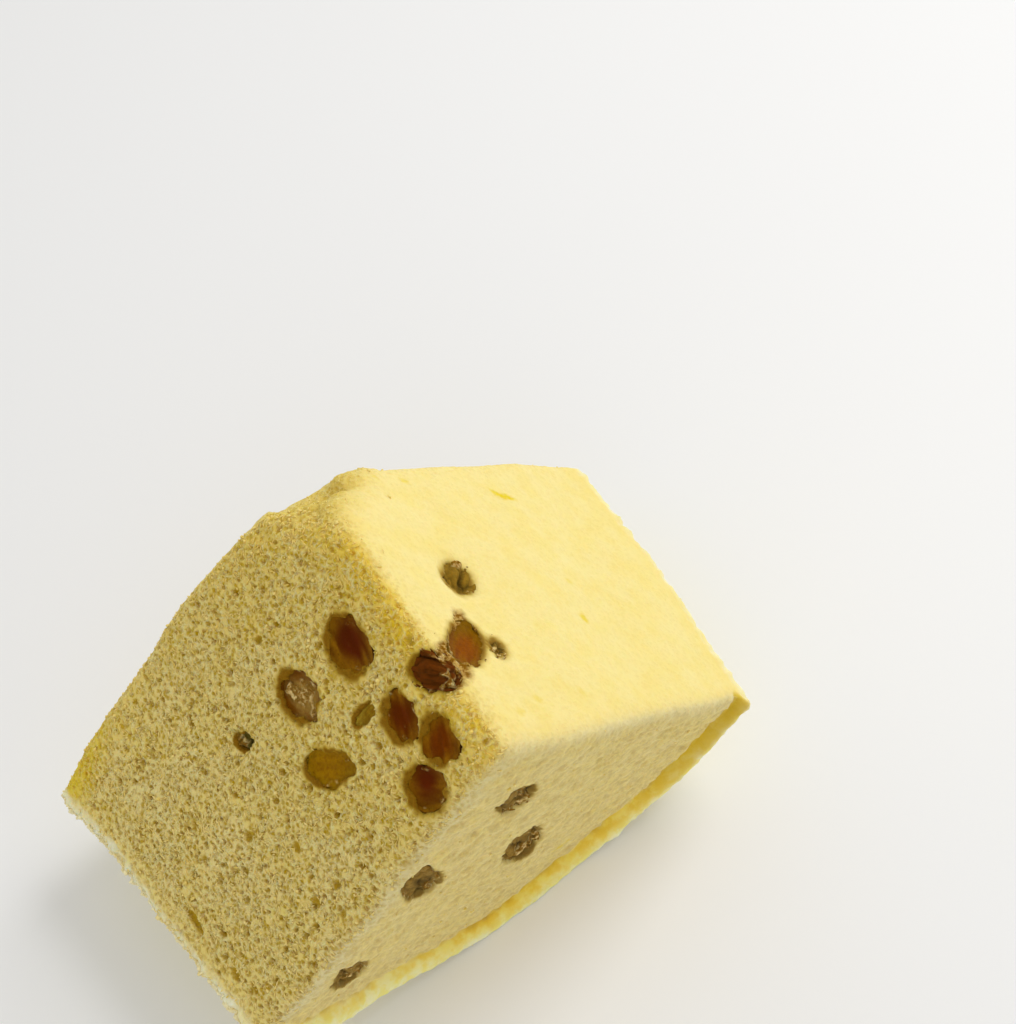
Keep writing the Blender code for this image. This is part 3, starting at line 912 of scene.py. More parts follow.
# %% Node helpers
class Recipe:
    """A material's graph: its shader, the place on the object, and nodes added by name."""

    def __init__(self, name):
        """A new material whose patterns are laid out in the object's own coordinates."""
        self.finish = bpy.data.materials.new(name)
        self.finish.use_nodes = True
        self.shader = self.finish.node_tree.nodes["Principled BSDF"]
        self.place = self.add("TexCoord", {}, "Object")

    def feed(self, socket, value):
        """Link an output to a socket, or set the socket to a plain value."""
        if isinstance(value, bpy.types.NodeSocket):
            self.finish.node_tree.links.new(value, socket)
        else:
            socket.default_value = value

    def add(self, kind, inputs, output=0, **settings):
        """Add a node, choose its settings, feed its inputs and return one of its outputs."""
        node = self.finish.node_tree.nodes.new("ShaderNode" + kind)
        for setting, value in settings.items():
            setattr(node, setting, value)
        for socket, value in inputs.items():
            self.feed(node.inputs[socket], value)
        return node.outputs[output]

    def mark(self, name, output="Fac"):
        """The number painted on each point under that name, or its colour."""
        return self.add("Attribute", {}, output, attribute_name=name)

    def math(self, operation, first, second):
        """One step of arithmetic on two values."""
        return self.add("Math", {0: first, 1: second}, operation=operation)

    def times(self, first, second):
        """Two values multiplied."""
        return self.math("MULTIPLY", first, second)

    def stretched(self, scales):
        """The place with each axis scaled, so that noise on it is drawn out in streaks."""
        return self.add("Mapping", {"Vector": self.place, "Scale": scales})

    def noise(self, size, detail=2.0, roughness=0.5, place=None, output="Fac"):
        """Cloudy noise in lumps of one size, from 0 to 1, or its colour."""
        place = self.place if place is None else place
        inputs = {"Vector": place, "Scale": 1 / size, "Detail": detail, "Roughness": roughness}
        return self.add("TexNoise", inputs, output)

    def cells(self, place, size, feature="F1"):
        """Distance to the nearest cell centre, in cell sizes, or to the nearest wall."""
        return self.add("TexVoronoi", {"Vector": place, "Scale": 1 / size}, "Distance", feature=feature)

    def shifted(self, size, amount):
        """The place pushed about by a noise's colour, so that cells lose their straight walls."""
        clouds = self.noise(size, output="Color")
        centred = self.add("VectorMath", {0: clouds, 1: (0.5, 0.5, 0.5)}, operation="SUBTRACT")
        return self.add("VectorMath", {0: centred, 1: (amount, amount, amount), 2: self.place},
                        operation="MULTIPLY_ADD")

    def range(self, value, start, end, low=0.0, high=1.0):
        """Map start..end to low..high with soft ends; start may be the larger one."""
        inputs = dict(enumerate((value, start, end, low, high)))
        return self.add("MapRange", inputs, interpolation_type="SMOOTHSTEP")

    def mix(self, share, first, second):
        """A colour between two, each a screen colour or another node's output."""
        first, second = [linear(*tone) if isinstance(tone, tuple) else tone for tone in (first, second)]
        return self.add("Mix", {0: share, 6: first, 7: second}, 2, data_type="RGBA")

    def layer(self, under, share, tone, strength=1.0):
        """A colour with a tone laid over it by a share: a mark's name or a node's output."""
        if isinstance(share, str):
            share = self.mark(share)
        if strength != 1.0:
            share = self.times(share, strength)
        return self.mix(share, under, tone)

    def bump(self, height, depth, below=None):
        """Fine relief of one depth, which may be laid over another relief."""
        inputs = {"Height": height, "Distance": depth}
        if below is not None:
            inputs["Normal"] = below
        return self.add("Bump", inputs)

    def soak(self, weight, reach, scale):
        """Let light soak in, with the reach of red, green and blue as parts of a scale."""
        self.shader.inputs["Subsurface Weight"].default_value = weight
        self.shader.inputs["Subsurface Radius"].default_value = reach
        self.shader.inputs["Subsurface Scale"].default_value = scale


# %% [markdown]
# ## Crumb finish
#
# The mesh carries the larger bubbles. Between them the crumb is a web of pale strands
# round pits of about a millimetre, too fine for the mesh, so the finish adds it: a cell
# pattern, bent by noise, paints shade into the pits and lifts the strands, whose paler
# tone is partly painted highlight. Light soaks into sponge, which is why shaded pits glow
# ochre and not grey, and why the shade painted into the pits, and into the mesh's own
# pits, is ochre.

# %% Web of the crumb
def crumb_web(recipe):
    """How far a place lies inside a pit, from 0 on a strand to 1 in its middle."""
    bent = recipe.shifted(1.0 * MM, 0.9 * MM)
    small_pit = recipe.range(recipe.cells(bent, 0.86 * MM), 0.62, 0.18)
    reach = recipe.times(recipe.noise(2.6 * MM), 0.70)
    larger_pit = recipe.range(recipe.cells(bent, 1.7 * MM), reach, 0.05)
    return recipe.math("MAXIMUM", recipe.times(small_pit, 0.85), larger_pit)


def crumb_strands(recipe):
    """1 on the thin pale walls that stand between pits, and 0 away from them."""
    bent = recipe.shifted(0.8 * MM, 0.9 * MM)
    walls = recipe.range(recipe.cells(bent, 1.25 * MM, "DISTANCE_TO_EDGE"), 0.16, 0.04)
    return recipe.times(walls, recipe.range(recipe.noise(1.5 * MM), 0.40, 0.60))


# %% Colours of the crumb
def dry_crumb(recipe, opened):
    """Mottled pale crumb with a lighter patch here and there, and what its faces add, among
    them painted shade on the torn corner, a painted glow and a darker narrow face.
    """
    mottle = recipe.range(recipe.noise(5 * MM, 3.0), 0.35, 0.7)
    patches = recipe.range(recipe.noise(9 * MM), 0.44, 0.64)
    chord = recipe.stretched((0.62, 1.0, 1.0))
    streaks = recipe.range(recipe.noise(1.0 * MM, 5.0, 0.75, chord), 0.36, 0.66)
    colour = recipe.mix(mottle, (250, 228, 150), (249, 225, 138))
    # Open crumb is painted darker overall, as the shade of its many pits.
    colour = recipe.layer(colour, opened, (232, 203, 100), 0.5)
    colour = recipe.layer(colour, recipe.times(patches, opened), (248, 230, 164), 0.45)
    colour = recipe.layer(colour, recipe.times(streaks, recipe.mark("nap")), (204, 180, 118))
    # The narrow face is darker and greyer as a whole: partly its own duller crumb, partly painted shade.
    colour = recipe.layer(colour, "nap", (214, 192, 128), 0.4)
    # Paler and greyer where the narrow face meets the cuts.
    colour = recipe.layer(colour, "pale_edge", (226, 214, 164))
    # Painted shade on the torn corner.
    colour = recipe.layer(colour, "painted_torn_shade", (214, 186, 88))
    # Painted glow: light passing through the crumb, painted as yellow.
    colour = recipe.layer(colour, "painted_glow", (240, 204, 72), 0.8)
    return recipe.layer(colour, "rind", (248, 222, 130), 0.6)


def with_pits(recipe, colour, opened, web, strands):
    """Painted ochre shade in the pits of the web and of the mesh, pale strands between them
    that are partly painted highlight, and a painted amber glow in the large bubbles.
    """
    # Painted shade in the pits: ochre, and warmer where the glow is painted.
    pit_shade_tone = recipe.mix(recipe.noise(3.5 * MM), (180, 146, 4), (192, 150, 4))
    pit_shade_tone = recipe.layer(pit_shade_tone, "painted_glow", (230, 188, 20))
    deep = recipe.math("MAXIMUM", recipe.times(web, opened), recipe.mark("pit"))
    colour = recipe.layer(colour, deep, pit_shade_tone)
    # The strands' paler tone is partly painted highlight.
    colour = recipe.layer(colour, recipe.times(strands, opened), (254, 236, 162), 0.7)
    # Painted amber glow in the large bubbles.
    return recipe.layer(colour, "amber", (190, 152, 30))


def with_stains(recipe, colour):
    """Fruit sugar round the raisins, sticky crumb between two of them, and yellow flecks, which
    also carry the painted glow at the left cut's outer corner.
    """
    stain, greyed = recipe.mark("stain"), recipe.mark("greyed")
    outer_stain = recipe.mix(greyed, (192, 156, 36), (196, 176, 112))
    inner_stain = recipe.mix(greyed, (136, 94, 12), (136, 118, 64))
    colour = recipe.mix(recipe.range(stain, 0.0, 0.85, 0.0, 0.80), colour, outer_stain)
    colour = recipe.mix(recipe.range(stain, 0.45, 1.0, 0.0, 0.92), colour, inner_stain)
    sticky = recipe.range(recipe.noise(0.9 * MM, 4.0, 0.7), 0.42, 0.62)
    colour = recipe.layer(colour, "bruise", recipe.mix(sticky, (128, 84, 14), (196, 158, 84)))
    # Yellow flecks, and the painted glow at the left cut's outer corner.
    return recipe.layer(colour, "yolk", (234, 204, 44))


def with_skin(recipe, colour):
    """The blotchy golden skin, painted shade on its olive end, its pale frill and painted shade
    in the crevice beside it.
    """
    blotch = recipe.range(recipe.noise(3.5 * MM, 4.0, 0.6), 0.40, 0.62)
    inner_skin = recipe.mix(blotch, (240, 204, 70), (250, 226, 104))
    outer_skin = recipe.mix(blotch, (253, 236, 136), (255, 246, 190))
    colour = recipe.layer(colour, "skin", recipe.layer(inner_skin, "outer", outer_skin))
    # Painted shade on the lip's end next to the right cut.
    colour = recipe.layer(colour, "olive", (206, 172, 48))
    colour = recipe.layer(colour, "frill", (255, 249, 212))
    # Painted shade in the crevice.
    return recipe.layer(colour, "crevice_shade", (206, 168, 46), 0.8)


# %% Crumb finishes
CRUMB_REACH = (1.0, 0.80, 0.50)
CRUMB_SCALE = 1.6 * MM


def matte_crumb(recipe, colour, relief, soaking):
    """Give a crumb its colour and relief, without any shine and with light soaking in."""
    shader = recipe.shader
    recipe.feed(shader.inputs["Base Color"], colour)
    recipe.feed(shader.inputs["Normal"], relief)
    shader.inputs["Roughness"].default_value = 0.9
    shader.inputs["Specular IOR Level"].default_value = 0.0
    recipe.soak(soaking, CRUMB_REACH, CRUMB_SCALE)
    return recipe.finish


def sponge_finish():
    """Pale strands, painted ochre pit shade, painted glow and shade, brown stains and the
    golden skin, from painted marks.
    """
    recipe = Recipe("sponge_crumb")
    web, strands, opened = crumb_web(recipe), crumb_strands(recipe), recipe.mark("open")
    colour = with_pits(recipe, dry_crumb(recipe, opened), opened, web, strands)
    colour = with_skin(recipe, with_stains(recipe, colour))
    pits = recipe.times(web, recipe.math("ADD", opened, 0.06))
    ridges = recipe.math("SUBTRACT", recipe.times(strands, recipe.times(opened, 0.6)), pits)
    fuzz = recipe.bump(recipe.noise(0.30 * MM, 3.0, 0.6), 0.10 * MM)
    return matte_crumb(recipe, colour, recipe.bump(ridges, 0.28 * MM, fuzz), 0.55)


def loose_finish():
    """Crumb too small for pits of its own: mottled pale yellow, ochre near fruit."""
    recipe = Recipe("loose_crumb")
    cloud = recipe.range(recipe.noise(0.8 * MM, 3.0), 0.35, 0.65)
    colour = recipe.mix(cloud, (238, 210, 112), (252, 230, 150))
    # The painted glow is laid on the loose crumb as well.
    colour = recipe.layer(colour, "painted_glow", (240, 202, 80), 0.85)
    colour = recipe.layer(colour, "stain", (198, 160, 60), 0.7)
    colour = recipe.layer(colour, "frill", (254, 246, 204))
    return matte_crumb(recipe, colour, recipe.bump(recipe.noise(0.15 * MM), 0.02 * MM), 0.1)


# %% [markdown]
# ### Painted marks
#
# Marks are plain numbers on the points of the mesh. They follow from the same distances
# that shaped it: a painted glow near the ridge, where light passes through from the bright
# face, paler where the narrow face meets the cuts, and ochre round every raisin. Painted
# shade lies on the torn corner, in the crevice and on the lip's end by the right cut.

# %% Yellow flecks
# (face, out, along, half length, half width, turn, strength), in millimetres and degrees.
FLECKS = [
    ("right", 48.3, 10.1, 2.4, 0.9, 20, 1.0), ("right", 46.6, 9.2, 1.1, 0.6, 70, 0.8),
    ("right", 43.0, 38.9, 1.1, 0.9, 60, 0.8), ("right", 46.7, 30.8, 0.9, 0.6, 10, 0.35),
    ("right", 25.8, 52.8, 1.0, 0.7, 80, 0.35), ("right", 10.0, 54.0, 0.9, 0.7, 0, 0.4),
    ("right", 15.4, 52.3, 0.8, 0.5, 40, 0.4), ("right", 25.6, 5.4, 0.7, 0.5, 0, 0.7),
    ("right", 18.0, 5.0, 0.8, 0.5, 30, 0.5), ("right", 56.8, 9.9, 0.8, 0.5, 50, 0.3),
    ("narrow", 62.5, 8.0, 2.4, 0.9, 85, 0.5), ("narrow", 73.6, -7.0, 2.0, 0.7, 90, 0.6),
    ("narrow", 74.0, -22.0, 2.6, 0.8, 70, 0.6),
]
yolk = np.zeros(len(smooth_points))
for face, *outline, strength in FLECKS:
    gap = outline_distance(smooth_points, face, outline) + ragged
    yolk = np.maximum(yolk, ease(gap, 0.3 * MM, -0.4 * MM) * share[face] * strength)

# %% Crumb marks
patches = bumps(3.0, 61)
# Painted glow, yellow where light would pass through the crumb: along the ridge, on the torn corner, next
# to the wide face and at the left cut's outer corner.
ridge_glow = ease(inside["right"] + patches * 2.5 * MM, 10 * MM, 2.5 * MM) * ease(share["left"], 0.15, 0.7)
torn_glow = 0.7 * share["torn"] + 0.5 * ease(height, 16 * MM, 4 * MM) * share["left"]
upper_glow = 0.35 * ease(radius + patches * 4 * MM, 46 * MM, 10 * MM) * share["left"]
corner_glow = ease(radius + patches * 3 * MM, 56 * MM, 80 * MM) * ease(height, 8 * MM, 1 * MM)
corner_glow *= 0.9 * (share["left"] + 0.3 * share["wide"] * ease(inside["left"], 6 * MM, 0))
painted_glow = (ridge_glow + 0.5 * torn_glow + upper_glow) * (0.7 + 0.4 * patches) + corner_glow

# A paler, greyer band on the narrow face along its edges to the cuts.
pale_edge_reach = (5.0 + bumps(2.5, 62, 2.5)) * MM
pale_edge = np.maximum(0.8 * ease(inside["left"], pale_edge_reach, 0),
                    0.6 * ease(inside["right"], 0.8 * pale_edge_reach, 0))
frill_paint = np.maximum(frill * (1 - 0.6 * share["right"]), 0.8 * lip_edge)
outer_paint = ease(across_lip, 0.15, 0.9) + 0.7 * ease(inside["left"], 50 * MM, 0)
crumb_marks = {
    # Painted shade over the torn corner.
    "painted_torn_shade": 0.85 * share["torn"],
    "open": openness_here * (1 - 0.35 * rind),
    # Painted shade in the mesh's own pits.
    "pit": np.clip(pits / (0.8 * MM), 0, 1) * np.where(openness_here > 0.3, openness_here, 0),
    # Painted amber glow in the large bubbles.
    "amber": np.clip(amber, 0, 1) * share["left"] * (1 - stain) * 0.85,
    "greyed": 0.2 * share["right"] + 0.5 * share["narrow"] + 0.6 * (share["wide"] + share["wall"]),
    "bruise": bruise,
    "stain": stain,
    "skin": skin,
    "rind": rind,
    "frill": frill_paint * (0.5 + 0.5 * ease(bumps(2.0, 63), -0.4, 0.5)),
    "outer": np.clip(outer_paint + share["wall"] + 0.6 * thin_rim, 0, 1),
    # Painted shade on the lip next to the right cut.
    "olive": 0.8 * ease(inside["right"], 40 * MM, 0) * ease(across_lip, 0.95, 0.6) * lip,
    # Painted shade in the crevice.
    "crevice_shade": crevice,
    # Painted glow, where light would pass through the crumb.
    "painted_glow": np.clip(painted_glow, 0, 1),
    # Strength of the narrow face's streaks and of its darker tone, which is partly painted shade.
    "nap": share["narrow"] * (1 - lip) * 0.75,
    # Paler band along the narrow face's edges to the cuts.
    "pale_edge": pale_edge * on_narrow * (1 - lip),
    # Yellow flecks, with the painted glow at the outer corner added.
    "yolk": np.maximum(yolk, 0.8 * np.clip(corner_glow, 0, 1)),
}
mesh_piece("sponge_crumb_detail", crumb_world, crumb_triangles, crumb_marks, sponge_finish(),
           ["sponge_crumb"])

# %% [markdown]
# ## Raisins
#
# A dried grape is an ellipsoid whose skin has shrunk into furrows along its length. One
# that the knife cut shows its inside: a shallow dish of translucent flesh, dark in the
# middle and amber at the rim. Both come from one grid over two angles. The furrows are
# the places where a stretched noise passes through zero.

# %% Raisin shape
AROUND = 84
DOWN = 44


def ball_triangles(around, rings):
    """Triangles of a closed ball: rings of points between a top and a bottom pole."""
    ring, step = np.meshgrid(np.arange(rings - 1), np.arange(around), indexing="ij")
    a = (ring * around + step).ravel()
    b = (ring * around + (step + 1) % around).ravel()
    c, d = b + around, a + around
    sides = np.concatenate([np.stack([a, d, c], 1), np.stack([a, c, b], 1)])
    step = np.arange(around)
    nxt = (step + 1) % around
    top, bottom = np.full(around, rings * around), np.full(around, rings * around + 1)
    last = (rings - 1) * around
    caps = [np.stack([top, step, nxt], 1), np.stack([bottom, last + nxt, last + step], 1)]
    return np.concatenate([sides, *caps])


def ball_points(around, rings):
    """Points on the unit ball, ring by ring along its x axis, then the two poles."""
    down = (np.arange(rings) + 1) / (rings + 1) * math.pi
    turn = np.arange(around) / around * 2 * math.pi
    down, turn = [grid.ravel() for grid in np.meshgrid(down, turn, indexing="ij")]
    points = np.stack([np.cos(down), np.sin(down) * np.cos(turn), np.sin(down) * np.sin(turn)], 1)
    return np.concatenate([points, [(1, 0, 0), (-1, 0, 0)]])


def furrows(ball, seed, stretch, width):
    """1 in the middle of a furrow and 0 away from it, where noise passes through zero."""
    return np.exp(-(noise(ball * stretch, 1.0, seed) / width) ** 2)


# %% [markdown]
# ### Looks of a raisin
#
# A look is three colours and three numbers: the core and the rim of cut flesh, the skin,
# how much of the raisin is covered by stuck crumb, and how much more of that lies in its
# middle and at its end.

# %% Looks
STUCK_CRUMB = (232, 204, 136)
LOOKS = {
    "dark": ((94, 32, 2), (138, 94, 10), (96, 60, 14), 0.10, -0.4, 0.1),
    "red": ((104, 42, 2), (140, 92, 10), (112, 68, 14), 0.16, -0.4, 0.1),
    "orange": ((118, 54, 2), (146, 100, 12), (140, 92, 20), 0.06, -0.4, 0.0),
    "amber": ((166, 118, 2), (152, 114, 6), (140, 106, 24), 0.02, -0.4, 0.0),
    "olive": ((160, 124, 24), (180, 150, 44), (150, 124, 40), 0.05, 0.0, 0.0),
    "crumbed": ((172, 134, 58), (112, 66, 4), (120, 80, 18), 0.70, 1.3, 0.0),
    "buried": ((120, 104, 40), (130, 112, 50), (104, 92, 30), 0.46, 0.0, -0.5),
    "wrinkled": ((96, 46, 8), (104, 60, 14), (108, 54, 10), 0.36, -0.2, 0.4),
    "ridge": ((138, 74, 0), (126, 88, 2), (132, 92, 4), 0.12, -0.3, 0.0),
    "sunken": ((150, 118, 34), (166, 134, 52), (146, 112, 30), 0.34, -0.3, -0.2),
    "fuzzy": ((150, 124, 50), (160, 134, 64), (136, 108, 40), 0.52, 0.0, 0.2),
    "slot": ((150, 118, 54), (160, 130, 64), (158, 124, 54), 0.46, 0.0, 0.2),
    "umber": ((124, 92, 40), (140, 108, 52), (108, 76, 30), 0.30, 0.0, 0.0),
}


# %% Pressed raisins
def pressed(points, limits):
    """Press points that stand higher over the wedge's surface than their limit down to it.

    Their excess height is taken off along the outward direction. Returns it as well.
    """
    _, push, level, _ = face_shares(points)
    excess = np.maximum(level[:, 0] - limits, 0)
    return points - push * (excess / np.sum(push * push, axis=1))[:, None], excess


# %% Raisin colour
def raisin_colour(ball, look, flesh, lumpy, furrow_shade, seed):
    """Cut flesh from its core's colour to its rim's, in streaks, and skin darkened in its
    furrows as painted shade.
    """
    core, rim, skin_colour = [np.array(linear(*tone)) for tone in LOOKS[look][:3]]
    streaks = noise(ball * (1.2, 5.0, 1), 1.0, seed + 200)
    rng = random.Random(seed)
    off_centre = np.hypot(ball[:, 0] - rng.uniform(-0.15, 0.15), ball[:, 1] - rng.uniform(-0.2, 0.2))
    middle = ease(off_centre + 0.22 * streaks + 0.20 * lumpy, 0.30, 1.05)[:, None]
    inside_colour = (core * (1 - middle) + rim * middle) * (1 + 0.22 * streaks)[:, None]
    # Painted shade in the furrows.
    skin_tone = skin_colour * (1 - furrow_shade)[:, None]
    colour = skin_tone * (1 - flesh[:, None]) + inside_colour * flesh[:, None]
    colour[:, 3] = 1.0
    return colour


# %% Raisin surface
def raisin_surface(face, raisin, seed):
    """Points of one raisin with its colour, its cut flesh and its cover of stuck crumb.

    A point of the unit ball is pulled in by its furrows and stretched to the half sizes,
    and the taper t makes it 1 - t x as wide at x. Whatever then stands above the raisin's
    level is pressed down to it. On a cut raisin that makes a shallow dish of flesh:
    level - dish (1 - q4), with q = 1 at the rim. A whole one keeps its furrows.
    """
    out, along, long_half, wide_half, turn, deep_half, sink, was_cut, look, taper = raisin
    place, long_dir, wide_dir, normal = turned_axes(face, out, along, turn)
    hidden_growth = 0.60 if was_cut else 0.70
    ball = ball_points(AROUND, DOWN)
    wide_furrows = furrows(ball, seed, (0.9, 2.1, 1.9), 0.16)
    fine_furrows = furrows(ball, seed + 50, (2.0, 4.6, 4.2), 0.22)
    lumpy = noise(ball * 1.3, 1.0, seed + 100)
    shaped = ball * (1 + 0.08 * lumpy - 0.08 * wide_furrows - 0.04 * fine_furrows)[:, None]
    shaped[:, 1] *= 1 - taper * ball[:, 0]
    points = (place + np.outer(shaped[:, 0] * (long_half + hidden_growth) * MM, long_dir)
              + np.outer(shaped[:, 1] * (wide_half + hidden_growth) * MM, wide_dir)
              + np.outer((shaped[:, 2] * deep_half - sink) * MM, normal))
    q = np.hypot(ball[:, 0], ball[:, 1])
    grooves = noise(ball * (1.0, 6.0, 0.1), 1.0, seed + 150)
    if was_cut:
        inner = np.clip(q / math.sqrt(1 - (sink / deep_half) ** 2), 0, 1)
        relief = 0.22 * grooves * (1 - inner ** 2) - 0.35 * (1 - inner ** 4)
    else:
        relief = 0.35 * lumpy - 0.35 * wide_furrows - 0.20 * fine_furrows + 0.3 * grooves
    stands = SEATS[look][1]
    points, excess = pressed(points, (stands + relief) * MM)
    flesh = ease(excess, 0.05 * MM, 0.35 * MM) * was_cut
    *_, stuck, at_middle, at_end = LOOKS[look]
    rough = noise(ball * (2.6, 2.2, 2.4), 1.0, seed + 250) * 0.6 + noise(ball * 6, 1.0, seed + 260) * 0.4
    crumbs = ease(rough + at_middle * (0.6 - q) + at_end * ball[:, 0], 0.55 - stuck, 0.95 - stuck)
    knobs = noise(ball * 7, 1.0, seed + 270)
    points += np.outer(crumbs * (0.22 + 0.25 * rough + 0.30 * knobs) * MM, normal)
    # The skin is darkened in its furrows as painted shade.
    colour = raisin_colour(ball, look, flesh, lumpy, 0.55 * wide_furrows + 0.30 * fine_furrows, seed)
    return points, colour, flesh, crumbs


# %% [markdown]
# ### Raisin finish
#
# Fruit flesh lets light through, more red than blue, and so it glows brown in its pocket.
# Neither flesh nor skin shines much here, because steam and crumb have dulled them. The
# painted cover of stuck crumb is broken up into fine grains by noise.

# %% Raisin finish
FRUIT_REACH = (1.0, 0.50, 0.20)
FRUIT_SCALE = 0.9 * MM


def raisin_finish():
    """The painted colour, mottled, under grains of stuck crumb, with light soaking in."""
    recipe = Recipe("raisin")
    flesh = recipe.mark("flesh")
    spots = recipe.range(recipe.noise(0.7 * MM, 4.0, 0.65), 0.35, 0.75)
    shadow = recipe.mix(flesh, (48, 32, 10), (84, 36, 2))
    grit = recipe.noise(0.9 * MM, 3.0, 0.6)
    cover = recipe.times(recipe.mark("stuck"), recipe.range(grit, 0.32, 0.48))
    crumb_tone = recipe.mix(recipe.range(grit, 0.45, 0.66), (152, 110, 34), STUCK_CRUMB)
    colour = recipe.layer(recipe.mark("tint", "Color"), spots, shadow, 0.40)
    colour = recipe.layer(colour, cover, crumb_tone)
    relief = recipe.bump(recipe.noise(0.25 * MM, 3.0), 0.08 * MM)
    shader = recipe.shader
    recipe.feed(shader.inputs["Base Color"], colour)
    recipe.feed(shader.inputs["Roughness"], recipe.range(flesh, 0.0, 1.0, 0.7, 0.5))
    recipe.feed(shader.inputs["Normal"], recipe.bump(cover, 0.25 * MM, relief))
    shader.inputs["Specular IOR Level"].default_value = 0.04
    shader.inputs["Specular Tint"].default_value = (1.0, 0.62, 0.22, 1.0)
    recipe.soak(0.35, FRUIT_REACH, FRUIT_SCALE)
    return recipe.finish


# %% Make the raisins
fruit = raisin_finish()
raisin_triangles = ball_triangles(AROUND, DOWN)
seed = 300
for face, raisins in RAISINS.items():
    for number, raisin in enumerate(raisins, start=1):
        seed += 1
        points, colour, flesh, crumbs = raisin_surface(face, raisin, seed)
        name = f"raisin_{face}_{number}"
        mesh_piece(name + "_detail", to_world(points), raisin_triangles,
                   {"tint": colour, "flesh": flesh, "stuck": crumbs}, fruit, [name])
print("raisins:", sum(len(raisins) for raisins in RAISINS.values()))

# %% [markdown]
# ## Loose crumbs and torn strands
#
# A cut through sponge is never clean. Bubble walls stay behind as short bent strands, and
# grains of crumb cling to the surface, most of all along the edges. Both are tiny, so each
# has only a few dozen triangles, and all of one kind are made in one go: one small shape,
# copied to many places by array arithmetic.

# %% Strands
STRANDS = 3000
STRAND_LENGTH = 0.62 * MM
STRAND_THICKNESS = 0.13 * MM
STRAND_RINGS = 4
STRAND_SIDES = 4


def strand_triangles():
    """Triangles of one four-sided rod of four rings, closed at both ends."""
    ring, side = np.meshgrid(np.arange(STRAND_RINGS - 1), np.arange(STRAND_SIDES), indexing="ij")
    a = (ring * STRAND_SIDES + side).ravel()
    b = (ring * STRAND_SIDES + (side + 1) % STRAND_SIDES).ravel()
    c, d = b + STRAND_SIDES, a + STRAND_SIDES
    last = (STRAND_RINGS - 1) * STRAND_SIDES
    ends = np.array([(0, 2, 1), (0, 3, 2), (last, last + 1, last + 2), (last, last + 2, last + 3)])
    return np.concatenate([np.stack([a, b, c], 1), np.stack([a, c, d], 1), ends])


def strand_points(bases, normals, seed):
    """Points of all strands: bent rods that lie on the surface at random turns.

    Along the rod t runs from -1 to 1. Its middle arches up by 1 - t2, it swings to one
    side by t2, and it thins out towards its ends.
    """
    rng = np.random.default_rng(seed)
    count = len(bases)
    random_way = rng.normal(size=(count, 3))
    ahead = random_way - normals * np.sum(random_way * normals, axis=1, keepdims=True)
    ahead /= np.linalg.norm(ahead, axis=1, keepdims=True)
    aside = np.cross(normals, ahead)
    half = STRAND_LENGTH * rng.uniform(0.5, 1.0, (count, 1))
    thick = STRAND_THICKNESS * rng.uniform(0.7, 1.3, (count, 1))
    t = np.linspace(-1, 1, STRAND_RINGS)[None]
    swing = rng.uniform(-0.25, 0.25, (count, 1)) * half * t * t
    arch = rng.uniform(0.0, 0.18, (count, 1)) * half * (1 - t * t)
    spine = (bases[:, None] + ahead[:, None] * (half * t)[..., None]
             + aside[:, None] * swing[..., None] + normals[:, None] * arch[..., None])
    turn = np.arange(STRAND_SIDES) / STRAND_SIDES * 2 * math.pi
    turn = turn[None, :, None]
    round_it = aside[:, None] * np.cos(turn) + normals[:, None] * np.sin(turn)
    width = thick * (1 - 0.7 * t ** 4)
    points = spine[:, :, None] + width[:, :, None, None] * round_it[:, None]
    return points.reshape(-1, 3)


# %% Scatter the strands
def scattered(weights, count, seed):
    """Indices of mesh points drawn at random, in proportion to their weights."""
    rng = np.random.default_rng(seed)
    return rng.choice(len(weights), size=count, replace=False, p=weights / weights.sum())


def scatter_piece(name, triangles, points, bases, mark_parts):
    """One piece from many copies of a small shape, with marks taken from their bases."""
    each = len(points) // len(bases)
    copies = triangles[None] + np.arange(len(bases))[:, None, None] * each
    marks = {mark: np.repeat(crumb_marks[mark][bases] * part, each) for mark, part in mark_parts.items()}
    mesh_piece(name, points, copies.reshape(-1, 3), marks, loose, [])


loose = loose_finish()
world_outward = to_world(outward) - to_world(np.zeros((1, 3)))
clear = (1 - ease(pocket, 0.2 * MM, 0.8 * MM)) * (1 - skin)
unsoaked = (1 - stain) ** 2
strand_weights = share["left"] * (pits < 0.30 * MM) * (1 - 0.6 * rind) + 0.1 * share["torn"]
bases = scattered(strand_weights * clear * unsoaked, STRANDS, 71)
points = strand_points(crumb_world[bases], world_outward[bases], 72)
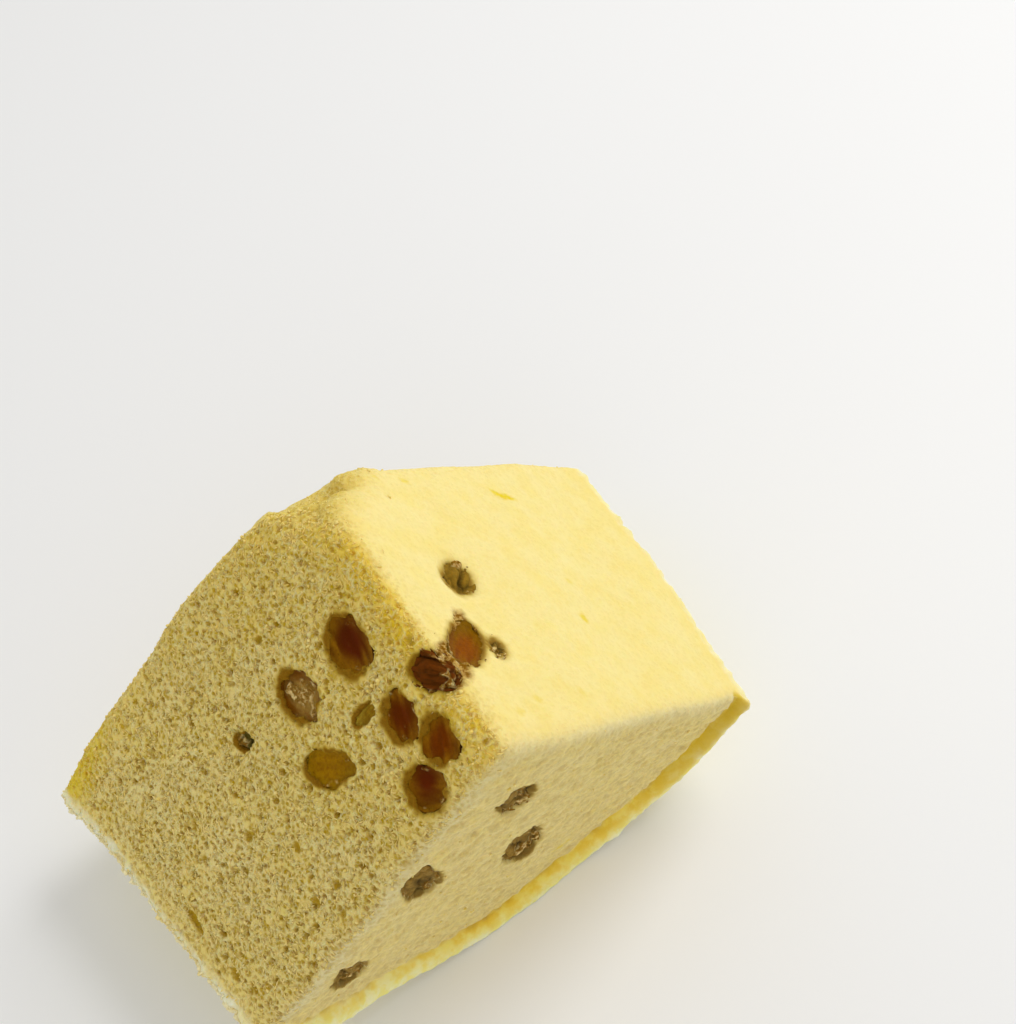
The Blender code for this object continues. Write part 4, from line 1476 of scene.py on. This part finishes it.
# Strands take the painted glow of the crumb under them.
scatter_piece("crumb_strands", strand_triangles(), points, bases, {"stain": 1.0, "painted_glow": 1.0})

# %% Grains
GRAINS = 1900
GRAIN_SMALLEST = 0.13 * MM
GRAIN_SPREAD = 0.20 * MM
GRAIN_AROUND = 6
GRAIN_RINGS = 3


def grain_points(bases, normals, sizes, seed):
    """Points of all grains: small balls with random axes, dented at random."""
    rng = np.random.default_rng(seed)
    ball = ball_points(GRAIN_AROUND, GRAIN_RINGS)
    count = len(bases)
    stretch = rng.uniform(0.55, 1.3, (count, 1, 3))
    dents = rng.uniform(0.75, 1.2, (count, len(ball), 1))
    centres = bases + normals * (sizes * 0.35)[:, None]
    points = centres[:, None] + ball[None] * stretch * dents * sizes[:, None, None]
    return points.reshape(-1, 3)


# %% Scatter the grains
near_edge = np.clip(1.2 - shares.max(axis=1), 0, 1) ** 2 * (1 - skin)
outer_edge = ease(inside["wall"], 1.6 * MM, 0.3 * MM) * share["left"]
on_faces = 0.10 * share["left"] + 0.012 * share["narrow"] + 0.008 * share["wide"] + 0.08 * share["torn"]
grain_weights = on_faces * clear + 0.14 * near_edge * share["left"] + 1.1 * outer_edge
grain_weights *= unsoaked * (1 - 0.85 * lip)
# A coarse mesh has fewer points to land on, so each stands for a larger area.
spacing = dict(CELL, torn=CELL["left"])
grain_weights *= sum(share[name] * (size / CELL["left"]) ** 2 for name, size in spacing.items())
bases = scattered(grain_weights, GRAINS, 81)
grain_sizes = GRAIN_SMALLEST + GRAIN_SPREAD * np.random.default_rng(82).random(GRAINS) ** 3
grain_sizes *= 1 + 0.9 * outer_edge[bases]
points = grain_points(crumb_world[bases], world_outward[bases], grain_sizes, 83)
points[:, 2] = np.maximum(points[:, 2], 0.0)
# Grains take the painted glow of the crumb under them.
scatter_piece("crumb_grains", ball_triangles(GRAIN_AROUND, GRAIN_RINGS), points, bases,
              {"stain": 0.5, "frill": 1.0, "painted_glow": 0.6})
print("strands:", STRANDS, "grains:", GRAINS)
